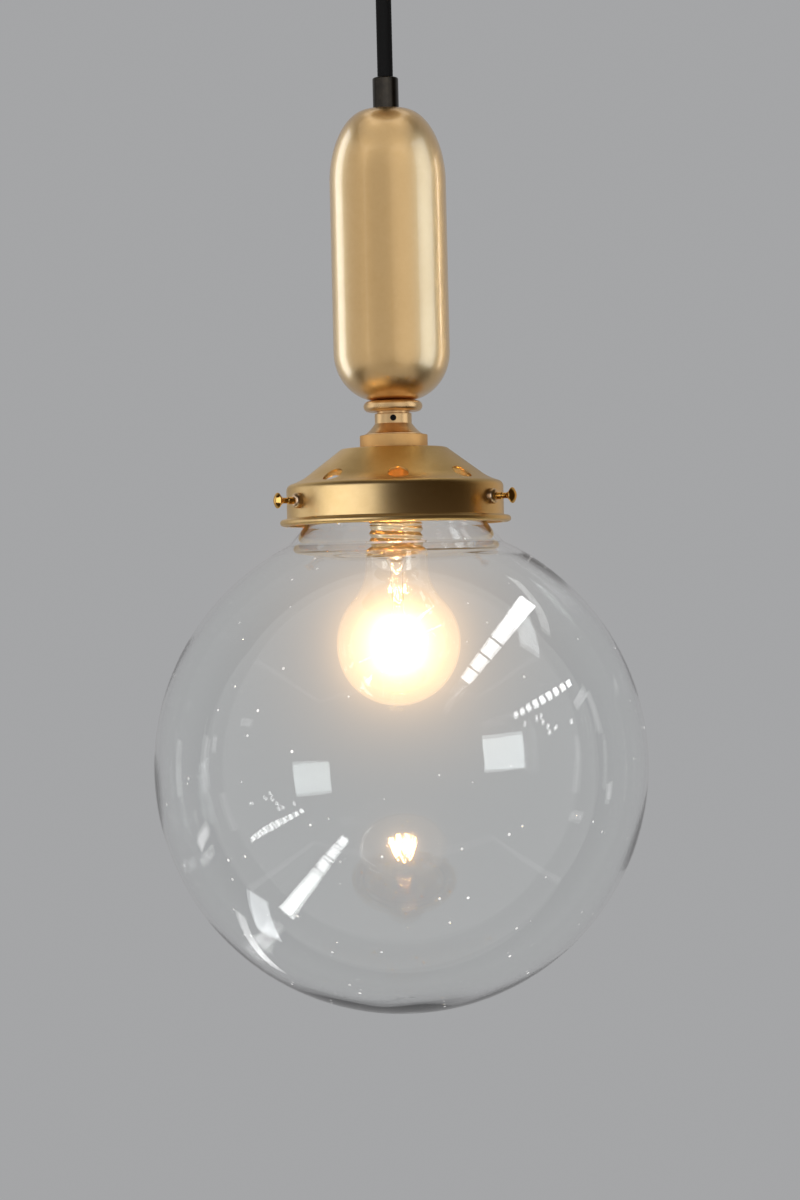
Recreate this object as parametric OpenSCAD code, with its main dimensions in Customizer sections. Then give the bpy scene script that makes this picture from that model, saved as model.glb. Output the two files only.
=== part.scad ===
// Pendant ceiling light: brass capsule on a textile cord, with a clear glass globe hung in a vented
// gallery below it. All sizes are in millimetres. The ceiling is the plane z = 0, the light hangs
// down -Z, and every turned piece is centred on the Z axis. The front is -Y.

/* [Ceiling rose] */
// Outside diameter of the rose
rose_d = 100; // [90:1:130]
// Height of the rose
rose_h = 30; // [28:1:45]
// Thickness of the rose's spun wall
rose_t = 1; // [0.8:0.1:1.5]
// Distance between the two ceiling slots
slot_spacing = 60; // [56:1:66]
// Width of a ceiling slot
slot_w = 4.5; // [4:0.1:5.5]
// End-to-end length of a ceiling slot
slot_l = 10; // [8:0.5:12]

/* [Cord] */
// Diameter of the textile cord
cord_d = 7.6; // [6:0.1:7.8]
// Free length of cord between the two grips
free_cord = 75; // [60:1:2000]
// Diameter of one insulated core
core_d = 2; // [1.8:0.1:2.2]
// Height of a cord grip
grip_h = 15.3; // [14:0.1:20]
// Outside diameter of a cord grip
grip_d = 12.6; // [12:0.1:16]

/* [Capsule] */
// Height of the capsule
capsule_h = 142; // [100:1:220]
// Diameter of the capsule
capsule_d = 56.7; // [50:0.1:70]
// Height of its upper, long shoulder
upper_shoulder = 36; // [28:1:45]
// Height of its lower, short shoulder
lower_shoulder = 24; // [20:1:40]
// Thickness of its wall
capsule_t = 1.2; // [1:0.1:2]
// Radius of the flat on its top
upper_flat = 8.1; // [7:0.1:12]
// Radius of the flat under its bottom
lower_flat = 6.6; // [6:0.1:12]

/* [Gallery] */
// Outside diameter of the gallery's wall
gallery_d = 105.6; // [105:0.1:107]
// Height of the gallery
gallery_h = 37; // [36.5:0.1:40]
// Thickness of its spun sheet
gallery_t = 1; // [0.8:0.1:1.2]
// Diameter of a vent hole
vent_d = 10; // [6:0.5:11]

/* [Globe and lamp] */
// Outside diameter of the glass globe
globe_d = 240; // [200:1:300]
// Thickness of the glass
glass_t = 2.2; // [2:0.1:3.5]
// Diameter of the lamp's bulb
bulb_d = 60.4; // [55:0.1:62]

/* [Hidden] */
$fn = 96;

// Small amounts: an overlap that joins two solids of one piece, and gaps between two pieces.
bite = 0.2;
slip = 0.08;
gap = 0.3;

// M10 x 1 hollow tube and its nuts
tube_d = 10;
tube_bore = 7.8;
thread_hole = 10.2;
nut_across = 14;
nut_h = 3.5;
thread_in_grip = 6.5;

// Cord grip: the mouth is bored wider than the cord, and the bush sits behind it
mouth_d = 9;
mouth_h = 3.6;
bush_h = 5;
bush_bore = 8.2;
cord_in_rose = 3;
cord_in_grip = 8.3;
grip_screw_depth = 6;

// Heights of the turned pieces between the capsule and the gallery
bead_h = 5.2;
bead_d = 28.7;
groove_h = 0.9;
neck_h = 4.9;
neck_d = 18;
bell_h = 5.6;
bell_d = 28.4;
bell_edge = 0.5;
skirt_top_h = 6.3;
skirt_top_d = 33;
skirt_d = 31;
skirt_bore = 29.2;
skirt_end = 33.5;
skirt_t = 1.2;
nut_ring_d = 38;
nut_ring_h = 6;
washer_d = 16;
washer_h = 1;
terminal_screw_d = 2.6;

// Levels of the joints in the stack, from the ceiling down
z_rose = -rose_h;
z_cord = z_rose - grip_h;
z_grip = z_cord - free_cord;
z_capsule = z_grip - grip_h;
z_bead = z_capsule - capsule_h;
z_groove = z_bead - bead_h;
z_neck = z_groove - groove_h;
z_bell = z_neck - neck_h;
z_skirt = z_bell - bell_h;
z_gallery = z_skirt - skirt_top_h;
z_rim = z_gallery - gallery_h;

// Gallery: the slope runs at a fixed angle into a shallow ledge and a rounded shoulder
slope = 36.9;
ledge = 18;
slope_end = [42.5, -12.8];
top_corner = 3;
hollow_r = 24;
shoulder_r = 3.2;
rim_d = 112.4;
rim_bead = 3.2;
gallery_hole = 31.4;
vent_count = 8;
vent_turn = 2.5;
vent_r = 43.6;

// Thumbscrews: three, one of them at the back, screwed in under the globe's lip
screw_z = z_gallery - 25.3;
screw_angles = [-30, -150, 90];
screw_shank = 3.4;
screw_tip_r = 44.65;
screw_head_r = 62;
screw_flare = 2.5;
screw_edge = 0.45;
screw_end_r = 66.4;
screw_head_d = 7.6;
boss_d = 7.5;
boss_h = 3.4;

// Globe: below the neck a short cone flares out and meets the sphere in a crease. Both corners are
// blended by concave arcs, whose centres are given from the middle of the sphere
neck_r = 44.3;
neck_blend = 5;
crease_r = 52;
crease_blend = 3;
flare = 40;
globe_r = globe_d / 2;
z_globe = z_rim - 117.5;
crease = [crease_r, sqrt(pow(globe_r, 2) - pow(crease_r, 2))];
flare_out = [cos(flare), sin(flare)];
flare_down = [sin(flare), -cos(flare)];
neck_c = [neck_r + neck_blend,
          crease[1] + (neck_blend - cos(flare) * (neck_r + neck_blend - crease_r)) / sin(flare)];
crease_start = crease + crease_blend * flare_out;
crease_c = crease_start - (crease_start * flare_down + sqrt(pow(crease_start * flare_down, 2)
    - crease_start * crease_start + pow(globe_r + crease_blend, 2))) * flare_down;
lip_r = 2.25;
lip_x = 46.6;
z_lip = screw_z + screw_shank / 2 + gap;
lip_h = 2 * lip_r;

// Lamp: an A60 bulb in an E27 cap
z_flare = z_rim - 13.2;
cap_h = 27;
cap_flare_d = 30;
thread_pitch = 3.62;
thread_major = 26.3;
thread_minor = 24.3;
thread_turns = 4;
thread_start = 2.6;
insulator_start = 19.5;
bulb_r = bulb_d / 2;
z_bulb = z_rim - 58.4;
bulb_neck_r = 15.3;
bulb_neck_top = 5;
z_bulb_neck = z_bulb + 37.5;
bulb_blend = (pow(bulb_neck_r, 2) + pow(z_bulb_neck - z_bulb, 2) - pow(bulb_r, 2))
    / (2 * (bulb_r - bulb_neck_r));
bulb_t = 0.8;

// Inside of the lampholder
z_block = z_skirt - 11.8;
block_h = 14.5;
block_d = 28.6;
terminal_x = 8;
terminal_size = [4.4, 5, 4];
z_lamp_contact = z_flare + cap_h;
shell_bore = 27;
shell_d = 28.4;
shell_end = 2.5;
block_screw_d = 3;
block_screw_places = [[-5.5, -8.5], [5.5, 8.5]];
contact_drop = z_block - block_h - z_lamp_contact + 0.3;

// Filament: a zigzag cage hung between two rings of hooks
cage_top_r = 6;
cage_low_r = 9;
cage_top = 12;
cage_low = -13;
cage_runs = 16;
filament_d = 0.7;

// Cores: their place in the tube and the height at which they turn to their terminals
core_ring = 1.6;
core_turn = z_block + 7.5;

// Feed cores in the rose
block_size = [30, 14, 12];
block_y = -20;
feed_z = -9;
strap_t = 1.5;
strap_w = 18;
strap_l = 95.8;
tab_h = 12;
side_screw_z = -7;
side_screw_d = 4;
rose_corner = 6;
bracket_hole = 20;
earth_x = 18;
earth_screw_d = 3.4;
pole_pitch = 9;
row_y = 3.5;

// ---------------------------------------------------------------- helpers

function unit(v) = v / norm(v);

// Points of an arc in the plane, from one angle to another
function arc(centre, r, from, to, steps = 8) =
    [for (i = [0:steps]) let (a = from + (to - from) * i / steps) centre + r * [cos(a), sin(a)]];

// The same points in the opposite order
function reversed(points) = [for (i = [len(points) - 1:-1:0]) points[i]];

// Direction of a route at its point i
function along(route, i) = unit(route[min(i + 1, len(route) - 1)] - route[max(i - 1, 0)]);

// Ring of points round a route's point i, counted from the side vector
function ring_at(route, i, d, side, sides) =
    let (t = along(route, i), s = is_list(side[0]) ? side[i] : side,
         n = unit(s - (s * t) * t), b = cross(t, n))
    [for (k = [0:sides - 1]) route[i] + d / 2 * (cos(360 * k / sides) * n + sin(360 * k / sides) * b)];

// Round tube swept along a route
module wire(route, d, side, sides = 8) {
    last = (len(route) - 1) * sides;
    points = [for (i = [0:len(route) - 1]) each ring_at(route, i, d, side, sides)];
    walls = [for (i = [0:len(route) - 2], k = [0:sides - 1]) let (j = (k + 1) % sides)
        [i * sides + k, (i + 1) * sides + k, (i + 1) * sides + j, i * sides + j]];
    ends = [[for (k = [0:sides - 1]) k], [for (k = [sides - 1:-1:0]) last + k]];
    polyhedron(points, concat(ends, walls));
}

// Cylinder hanging from z_top, with an optional bore
module drum(d, h, z_top, bore = 0) {
    translate([0, 0, z_top - h]) difference() {
        cylinder(d = d, h = h);
        if (bore > 0) translate([0, 0, -1]) cylinder(d = bore, h = h + 2);
    }
}

// Places its children pointing outwards from the axis
module radial(angle, z) {
    translate([0, 0, z]) rotate([0, 0, angle]) rotate([0, 90, 0]) children();
}

// Hexagonal nut hanging from z_top
module hex_nut(z_top) {
    translate([0, 0, z_top - nut_h]) difference() {
        cylinder(d = nut_across / cos(30), h = nut_h, $fn = 6);
        translate([0, 0, -1]) cylinder(d = tube_d, h = nut_h + 2);
    }
}

// Small cheese-headed screw standing on z = 0 with its head up and a driver slot across it
module slot_screw(head_d, head_h, shank_d, shank_l) {
    difference() {
        cylinder(d = head_d, h = head_h);
        translate([-head_d, -0.4, head_h * 0.55]) cube([2 * head_d, 0.8, head_h]);
    }
    translate([0, 0, -shank_l]) cylinder(d = shank_d, h = shank_l + bite);
}

// Headless screw along +Z with a hexagonal socket in its far end
module socket_screw(d, l, socket) {
    difference() {
        cylinder(d = d, h = l);
        translate([0, 0, l - 1.2]) cylinder(d = socket, h = 2, $fn = 6);
    }
}

// ---------------------------------------------------------------- ceiling rose

module ceiling_bracket() {
    color("silver") difference() {
        union() {
            translate([-strap_l / 2, -strap_w / 2, -strap_t]) cube([strap_l, strap_w, strap_t]);
            translate([-block_size[0] / 2 - 2, block_y - block_size[1] / 2 - 1, -strap_t])
                cube([block_size[0] + 4, -block_y + 2, strap_t]);
            for (side = [-1, 1])
                translate([side * (strap_l - strap_t) / 2 - strap_t / 2, -strap_w / 2, -tab_h])
                    cube([strap_t, strap_w, tab_h]);
        }
        translate([0, 0, -strap_t - 1]) cylinder(d = bracket_hole, h = strap_t + 2);
        for (side = [-1, 1]) translate([side * slot_spacing / 2, 0, -strap_t - 1]) slot(strap_t + 2);
        for (turn = [0, 180]) radial(turn, side_screw_z)
            cylinder(d = side_screw_d + 2 * slip, h = strap_l);
        translate([earth_x, 0, -strap_t - 1]) cylinder(d = earth_screw_d, h = strap_t + 2);
    }
}

// Slot along X, centred on its place
module slot(h) {
    straight = slot_l - slot_w;
    for (side = [-1, 1]) translate([side * straight / 2, 0, 0]) cylinder(d = slot_w, h = h);
    translate([-straight / 2, -slot_w / 2, 0]) cube([straight, slot_w, h]);
}

// Half outline of the rose from its rounded lower edge up to z_top
module rose_outline(r, bottom, corner, z_top) {
    polygon(concat([[0, z_top], [0, bottom]], arc([r - corner, bottom + corner], corner, -90, 0),
                   [[r, z_top]]));
}

module ceiling_rose() {
    color("goldenrod") difference() {
        rotate_extrude() difference() {
            rose_outline(rose_d / 2, z_rose, rose_corner, 0);
            rose_outline(rose_d / 2 - rose_t, z_rose + rose_t, rose_corner - rose_t, 1);
            translate([0, z_rose - 1]) square([thread_hole / 2, rose_t + 2]);
        }
        for (turn = [0, 180]) radial(turn, side_screw_z)
            translate([0, 0, rose_d / 2 - 5]) cylinder(d = side_screw_d + 0.4, h = 10);
    }
}

module rose_screws() {
    color("gold") for (turn = [0, 180]) radial(turn, side_screw_z) translate([0, 0, rose_d / 2])
        slot_screw(7.5, 2.2, side_screw_d, 7);
}

module terminal_block() {
    color("white") difference() {
        translate([-block_size[0] / 2, block_y - block_size[1] / 2, -strap_t - block_size[2]])
            cube(block_size);
        for (pole = [-1:1]) {
            translate([pole * pole_pitch, block_y, feed_z]) rotate([90, 0, 0])
                cylinder(d = 3.2, h = block_size[1] + 2, center = true);
            for (row = [-1, 1])
                translate([pole * pole_pitch, block_y + row * row_y, -strap_t - block_size[2] - 1])
                cylinder(d = 4.2, h = 3.5);
        }
    }
}

module terminal_screws() {
    color("silver") for (pole = [-1:1], row = [-1, 1])
        translate([pole * pole_pitch, block_y + row * row_y, -strap_t - block_size[2] + 1.2])
            rotate([180, 0, 0])
            slot_screw(3.6, 1, 2.2, 1.3);
}

module earth_screw() {
    color("gold") translate([earth_x, 0, -strap_t - 1.4]) rotate([180, 0, 0])
        slot_screw(6.4, 2, earth_screw_d, 2.6);
}

module rose_nipple() {
    color("silver") drum(tube_d, thread_in_grip + 10, z_rose + 10, tube_bore);
}

module rose_nut() {
    color("silver") hex_nut(z_rose + rose_t + nut_h);
}

// Cord grip with its mouth upwards at z = 0
module grip_body() {
    difference() {
        rotate_extrude() polygon(concat(
            [[0, -grip_h], [grip_d / 2 - 0.3, -grip_h], [grip_d / 2, -grip_h + 0.3]],
            arc([grip_d / 2 - 0.8, -0.8], 0.8, 0, 90, 4), [[0, 0]]));
        translate([0, 0, -mouth_h]) cylinder(d = mouth_d, h = mouth_h + 1);
        translate([0, 0, -grip_h - 1]) cylinder(d = thread_hole, h = grip_h - mouth_h + 1);
        radial(90, -grip_screw_depth) translate([0, 0, mouth_d / 2 - 1]) cylinder(d = 3, h = 4);
    }
}

// Split nylon bush behind the mouth of a grip
module bush_body() {
    drum(thread_hole, bush_h, -mouth_h, bush_bore);
}

// Headless screw that locks the bush from the back of a grip
module grip_screw_body() {
    radial(90, -grip_screw_depth) translate([0, 0, thread_hole / 2]) socket_screw(3, 1.1, 1.5);
}

module rose_grip() {
    color([0.1, 0.09, 0.08]) translate([0, 0, z_cord]) mirror([0, 0, 1]) grip_body();
}

module rose_bush() {
    color("ivory") translate([0, 0, z_cord]) mirror([0, 0, 1]) bush_body();
}

module rose_grip_screw() {
    color("dimgray") translate([0, 0, z_cord]) mirror([0, 0, 1]) grip_screw_body();
}

// Feed core: up through the nipple, over to its terminal, and straight in along its last stretch
module feed(angle, end, into, side) {
    start = [core_ring * cos(angle), core_ring * sin(angle), z_rose + 10];
    foot = end - 7 * into;
    over = [for (f = [0.1, 0.35, 0.7, 0.92]) start + [(foot[0] - start[0]) * f, (foot[1] - start[1]) * f,
            (foot[2] - start[2]) * sin(90 * f)]];
    wire(concat([[start[0], start[1], z_cord + cord_in_rose + bite], [start[0], start[1], z_cord + 14],
                 start], over, [foot, foot + 3 * into, end]), core_d, side);
}

module feed_live() {
    color("saddlebrown") feed(210, [-pole_pitch, block_y + row_y, feed_z], [0, -1, 0], [1, 0, 0]);
}

module feed_neutral() {
    color("royalblue") feed(330, [pole_pitch, block_y + row_y, feed_z], [0, -1, 0], [1, 0, 0]);
}

module feed_earth() {
    color("yellowgreen") feed(90, [earth_x - earth_screw_d, 0, -strap_t - 2.5], [1, 0, 0], [0, 1, 0]);
}

// ---------------------------------------------------------------- cord

// The cord runs straight, from inside the rose's grip to inside the capsule's grip.
cord_head = z_cord + cord_in_rose;
cord_foot = z_grip - cord_in_grip;
cord_steps = 16;
cord_route = [for (i = [0:cord_steps]) [0, 0, cord_head + (cord_foot - cord_head) * i / cord_steps]];

module flex_cord() {
    color([0.07, 0.07, 0.08]) wire(cord_route, cord_d, [1, 0, 0], 12);
}

// ---------------------------------------------------------------- capsule and its fixings

module cord_grip() {
    color([0.1, 0.09, 0.08]) translate([0, 0, z_grip]) grip_body();
}

module cord_bush() {
    color("ivory") translate([0, 0, z_grip]) bush_body();
}

module cord_grip_screw() {
    color("dimgray") translate([0, 0, z_grip]) grip_screw_body();
}

// Quarter ellipse from a flat end of radius flat out to the wall, measured from the end inwards
function shoulder(r, flat, h, steps = 16) =
    [for (i = [0:steps]) let (a = 90 - 90 * i / steps) [flat + (r - flat) * cos(a), h * (1 - sin(a))]];

// Half outline of the capsule, inset all round
function capsule_outline(inset) =
    let (r = capsule_d / 2 - inset, top = shoulder(r, upper_flat, upper_shoulder - inset),
         low = shoulder(r, lower_flat, lower_shoulder - inset))
    concat([[0, z_capsule - inset]], [for (p = top) [p[0], z_capsule - inset - p[1]]],
           [for (p = reversed(low)) [p[0], z_bead + inset + p[1]]],
           [[0, z_bead + inset]]);

module capsule_shell() {
    color("burlywood") rotate_extrude() difference() {
        polygon(capsule_outline(0));
        polygon(capsule_outline(capsule_t));
        translate([0, z_bead - 1]) square([thread_hole / 2, capsule_h + 2]);
    }
}

module threaded_tube() {
    top = z_capsule + thread_in_grip;
    color("silver") drum(tube_d, top - (z_skirt - skirt_t - washer_h - nut_h), top, tube_bore);
}

// Round-edged ring below the capsule
module collar_ring() {
    color("peru") rotate_extrude() difference() {
        union() {
            translate([0, z_groove]) square([(bead_d - bead_h) / 2, bead_h]);
            translate([(bead_d - bead_h) / 2, z_groove + bead_h / 2]) circle(d = bead_h);
        }
        translate([0, z_groove - 1]) square([thread_hole / 2, bead_h + 2]);
        translate([-bead_h, z_groove - 1]) square([bead_h, bead_h + 2]);
    }
}

// Lampholder cap: a groove, a neck with the grub screw, and a bell that flares to a thin edge
module holder_cap() {
    neck = neck_d / 2;
    drop = bell_h - bell_edge;
    bell = [for (i = [1:10]) let (out = i / 10)
        [neck + (bell_d / 2 - neck) * out, z_bell - drop * (1 - pow(1 - out, 1.4))]];
    color("peru") difference() {
        rotate_extrude() polygon(concat(
            [[thread_hole / 2, z_groove], [neck - 1.2, z_groove], [neck - 1.2, z_neck],
             [neck - 0.4, z_neck], [neck, z_neck - 0.4], [neck, z_bell]], bell,
            [[bell_d / 2, z_skirt], [bell_d / 2 - 3.2, z_skirt], [neck - 1.5, z_bell - 1.2],
             [thread_hole / 2, z_bell - 1.2]]));
        radial(-90, z_neck - neck_h / 2) cylinder(d = 3, h = neck_d);
    }
}

module grub_screw() {
    color([0.05, 0.05, 0.05]) radial(-90, z_neck - neck_h / 2)
        translate([0, 0, tube_d / 2]) socket_screw(3, 3.2, 1.5);
}

// Lampholder skirt: the wide top seats on the gallery and the long part passes through it
module holder_skirt() {
    color("tan") difference() {
        rotate_extrude() difference() {
            union() {
                translate([0, z_gallery]) square([skirt_top_d / 2, skirt_top_h]);
                translate([0, z_gallery - skirt_end]) square([skirt_d / 2, skirt_end + bite]);
            }
            translate([0, z_gallery - skirt_end - 1])
                square([skirt_bore / 2, skirt_end + skirt_top_h - skirt_t + 1]);
            translate([0, z_skirt - skirt_t - 1]) square([thread_hole / 2, skirt_t + 2]);
        }
        for (p = block_screw_places) translate([p[0], p[1], z_skirt - skirt_t - 1])
            cylinder(d = block_screw_d, h = skirt_t + 2);
    }
}

module lock_washer() {
    color("silver") drum(washer_d, washer_h, z_skirt - skirt_t, thread_hole);
}

module tube_nut() {
    color("silver") hex_nut(z_skirt - skirt_t - washer_h);
}

// Ring nut that clamps the gallery from inside, with six notches for a key
module shade_ring() {
    z = z_gallery - gallery_t;
    notch = 3;
    color("goldenrod") difference() {
        drum(nut_ring_d, nut_ring_h, z, skirt_d);
        for (i = [0:5]) rotate([0, 0, 60 * i])
            translate([nut_ring_d / 2 - notch / 2, -notch / 2, z - nut_ring_h - notch / 3]) cube(notch);
    }
}

module contact_block() {
    color("whitesmoke") difference() {
        drum(block_d, block_h, z_block);
        for (x = [-1, 1]) translate([x * terminal_x, 0, z_block - 5]) cylinder(d = terminal_screw_d, h = 6);
        for (p = block_screw_places) translate([p[0], p[1], z_block - block_h - 1])
            cylinder(d = block_screw_d + 2 * slip, h = block_h + 2);
    }
}

// Two long screws that hang the block from the top of the skirt
module block_screws() {
    length = z_skirt - 0.4 - (z_block - block_h);
    color("silver") for (p = block_screw_places) translate([p[0], p[1], z_block - block_h])
        rotate([180, 0, 0]) slot_screw(5, 1.5, block_screw_d, length);
}

// Brass terminals on the block, each with a hole facing the middle for its core
module holder_terminals() {
    color("gold") for (side = [-1, 1]) difference() {
        translate([side * terminal_x, 0, z_block + terminal_size[2] / 2]) cube(terminal_size, center = true);
        translate([side * (terminal_x - terminal_size[0] / 2), 0, z_block + 2]) rotate([0, 90, 0])
            cylinder(d = core_d, h = 2, center = true);
        translate([side * terminal_x, 0, z_block - 1])
            cylinder(d = terminal_screw_d, h = terminal_size[2] + 2);
    }
}

module holder_screws() {
    color("silver") for (side = [-1, 1]) translate([side * terminal_x, 0, z_block + terminal_size[2]])
        slot_screw(4, 1.2, terminal_screw_d, 8);
}

// Earth terminal on the skirt's wall, behind the block's middle
module earth_terminal() {
    color("gold") difference() {
        translate([-2.5, skirt_bore / 2 - 5, z_block + 0.6]) cube([5, 5 - bite, 4]);
        translate([0, skirt_bore / 2 - 5, z_block + 2.6]) rotate([90, 0, 0])
            cylinder(d = core_d, h = 2, center = true);
    }
}

// Sprung strip that presses on the lamp's end
module centre_contact() {
    sheet = 0.5;
    color("goldenrod") translate([0, 0, z_block - block_h]) rotate([90, 0, 0]) translate([0, 0, -2.5])
        linear_extrude(5) polygon([
            [-7, 0], [-7, -sheet], [-4.4, -sheet], [-2.6, -contact_drop], [2.4, -contact_drop],
            [3.4, -contact_drop + 1], [2.9, -contact_drop + 1.2],
            [2.1, -contact_drop + sheet], [-2.2, -contact_drop + sheet], [-4, 0]]);
}

// Socket shell on the bottom of the block
module screw_shell() {
    z = z_block - block_h;
    low = z_gallery - skirt_end - shell_end;
    color("gold") drum(shell_d, z - low, z, shell_bore);
}

// Core of the lampholder: down the tube, then over to its terminal
module core(angle, reach, z_end, side) {
    x = cos(angle);
    y = sin(angle);
    wire([for (p = [[core_ring, z_grip - cord_in_grip - bite], [core_ring, z_capsule - 40],
                    [core_ring, z_capsule - 95], [core_ring, core_turn],
                    [core_ring + 0.4, core_turn - 1.8], [core_ring + 1.4, z_end + 1.5],
                    [core_ring + 2.6, z_end + 0.4], [reach - 0.6, z_end], [reach, z_end]])
          [x * p[0], y * p[0], p[1]]], core_d, side);
}

module core_live() {
    color("saddlebrown") core(0, terminal_x - terminal_size[0] / 2, z_block + 2, [0, 1, 0]);
}

module core_neutral() {
    color("royalblue") core(180, terminal_x - terminal_size[0] / 2, z_block + 2, [0, 1, 0]);
}

module core_earth() {
    color("yellowgreen") core(90, skirt_bore / 2 - 5, z_block + 2.6, [1, 0, 0]);
}

// ---------------------------------------------------------------- gallery

// Side of the gallery from its hole to the foot of its wall, inset by t
function gallery_side(t) =
    let (normal = [sin(slope), cos(slope)],
         top = [(normal * slope_end - top_corner * (1 - normal[1])) / normal[0], -top_corner],
         hollow = slope_end + hollow_r * normal,
         foot = hollow - hollow_r * [sin(ledge), cos(ledge)],
         wall_r = gallery_d / 2,
         run = wall_r - shoulder_r * (1 - sin(ledge)) - foot[0],
         corner = [wall_r - shoulder_r, foot[1] - run * tan(ledge) - shoulder_r * cos(ledge)])
    concat([[gallery_hole / 2, -t]], arc(top, top_corner - t, 90, 90 - slope),
           arc(hollow, hollow_r + t, 270 - slope, 270 - ledge),
           arc(corner, shoulder_r - t, 90 - ledge, 0));

module gallery() {
    bead = rim_bead / 2;
    wall_r = gallery_d / 2;
    color("darkgoldenrod") difference() {
        translate([0, 0, z_gallery]) rotate_extrude() polygon(concat(
            gallery_side(0),
            [[wall_r, -gallery_h + rim_bead]],
            arc([rim_d / 2 - bead, -gallery_h + bead], bead, 84, -90, 12),
            [[wall_r - gallery_t, -gallery_h]],
            reversed(gallery_side(gallery_t))));
        for (i = [0:vent_count - 1]) vent_tool(-90 + vent_turn + 360 / vent_count * i);
        for (a = screw_angles) radial(a, screw_z) cylinder(d = screw_shank + 2 * slip, h = rim_d);
    }
}

// Cutter for one vent, square to the hollow at its middle
module vent_tool(angle) {
    hollow = slope_end + hollow_r * [sin(slope), cos(slope)];
    tilt = asin((hollow[0] - vent_r) / hollow_r);
    rotate([0, 0, angle]) translate([vent_r, 0, z_gallery + hollow[1] - hollow_r * cos(tilt)])
        rotate([0, tilt, 0]) cylinder(d = vent_d, h = vent_d + 2, center = true);
}

// Domed bosses that carry the thumbscrews
module screw_bosses() {
    color("gold") for (a = screw_angles) difference() {
        radial(a, screw_z) difference() {
            rotate_extrude() intersection() {
                square([boss_d / 2, gallery_d / 2 + boss_h]);
                union() {
                    square([boss_d / 2, gallery_d / 2 + boss_h - 2]);
                    translate([boss_d / 2 - 2, gallery_d / 2 + boss_h - 2]) circle(r = 2);
                    square([boss_d / 2 - 2, gallery_d / 2 + boss_h]);
                }
            }
            translate([0, 0, -1]) cylinder(d = screw_shank + 2 * slip, h = rim_d);
        }
        translate([0, 0, screw_z - boss_d]) cylinder(d = gallery_d, h = 2 * boss_d);
    }
}

// Thumbscrew: plain tip and shank, and a head that flares out to a thin rim and a domed end
module thumbscrew(angle) {
    rim_r = screw_head_d / 2;
    rim_z = screw_head_r + screw_flare;
    rise = screw_end_r - rim_z - screw_edge;
    dome_r = (pow(rim_r - screw_edge / 2, 2) + pow(rise, 2)) / (2 * rise);
    color("gold") radial(angle, screw_z) rotate_extrude() {
        translate([0, screw_tip_r]) square([screw_shank / 2, screw_head_r - screw_tip_r + bite]);
        polygon([[0, screw_head_r], [screw_shank / 2, screw_head_r], [rim_r - screw_edge, rim_z - screw_edge],
                 [rim_r - screw_edge, rim_z], [0, rim_z]]);
        intersection() {
            square([rim_r, screw_end_r]);
            translate([rim_r - screw_edge, rim_z]) circle(r = screw_edge);
        }
        intersection() {
            translate([0, rim_z]) square([rim_r - screw_edge / 2, screw_end_r - rim_z]);
            translate([0, screw_end_r - dome_r]) circle(r = dome_r);
        }
    }
}

// ---------------------------------------------------------------- globe

// Half outline of the globe, inset by t: sphere, crease, flare and neck
module globe_half(t, z_top) {
    r = globe_r - t;
    translate([0, z_globe]) intersection() {
        translate([0, -r]) square([r, 4 * r]);
        union() {
            circle(r = r);
            square([neck_r - t, z_top - z_globe]);
            difference() {
                polygon([[0, 0], crease_c * r / (globe_r + crease_blend), crease_c,
                         crease_c - (crease_blend + t) * flare_out, neck_c - (neck_blend + t) * flare_out,
                         neck_c, [0, neck_c[1]]]);
                translate(crease_c) circle(r = crease_blend + t);
                translate(neck_c) circle(r = neck_blend + t);
            }
        }
    }
}

module globe() {
    color("lightcyan", 0.4) rotate_extrude() difference() {
        union() {
            globe_half(0, z_lip + lip_h);
            translate([0, z_lip]) square([lip_x, lip_h]);
            translate([lip_x, z_lip + lip_r]) circle(r = lip_r);
        }
        globe_half(glass_t, z_lip + lip_h + 1);
        translate([-lip_h, z_lip - 1]) square([lip_h, lip_h + 2]);
    }
}

// ---------------------------------------------------------------- lamp

// Half outline of the bulb, inset by t: sphere, concave blend and a straight neck
module bulb_half(t, z_top) {
    r = bulb_r - t;
    reach = [bulb_neck_r + bulb_blend, z_bulb_neck - z_bulb];
    touch = reach * r / (bulb_r + bulb_blend);
    intersection() {
        translate([0, z_bulb - r]) square([r, 4 * r]);
        union() {
            translate([0, z_bulb]) circle(r = r);
            translate([0, z_bulb]) square([bulb_neck_r - t, z_top - z_bulb]);
            difference() {
                polygon([[0, z_bulb], [touch[0], z_bulb + touch[1]], [reach[0], z_bulb_neck],
                         [0, z_bulb_neck]]);
                translate([reach[0], z_bulb_neck]) circle(r = bulb_blend + t);
            }
        }
    }
}

module lamp_glass() {
    color("aliceblue", 0.4) rotate_extrude() difference() {
        bulb_half(0, z_flare - bite);
        bulb_half(bulb_t, z_flare + bulb_neck_top);
    }
}

// Screw cap: flared foot, thread and a turned-in top
module lamp_cap() {
    wall = 0.5;
    half = thread_pitch / 2;
    top = z_flare + insulator_start;
    color("khaki") rotate_extrude() difference() {
        polygon(concat(
            [[0, z_flare], [cap_flare_d / 2, z_flare], [cap_flare_d / 2, z_flare + 0.5],
             [thread_major / 2, z_flare + thread_start - 0.6]],
            [for (i = [0:thread_turns * 8]) let (z = z_flare + thread_start + thread_pitch * i / 8)
                [(thread_major + thread_minor) / 4 + (thread_major - thread_minor) / 4 * cos(45 * i), z]],
            [[thread_minor / 2, top - 1], [thread_minor / 2 - 1, top], [0, top]]));
        translate([0, z_flare - 1]) square([thread_minor / 2 - wall, insulator_start - 3 * wall + 1]);
        translate([0, top - 2]) square([9.2, 4]);
    }
}

module cap_insulator() {
    z = z_flare + insulator_start;
    color([0.06, 0.05, 0.09]) rotate_extrude() polygon([
        [2, z - 1], [9.2, z - 1], [9.2, z], [8.6, z + 0.4], [5.2, z + 5.4], [4.6, z + 5.4],
        [4.6, z + 4.6], [2, z + 4.6]]);
}

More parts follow.
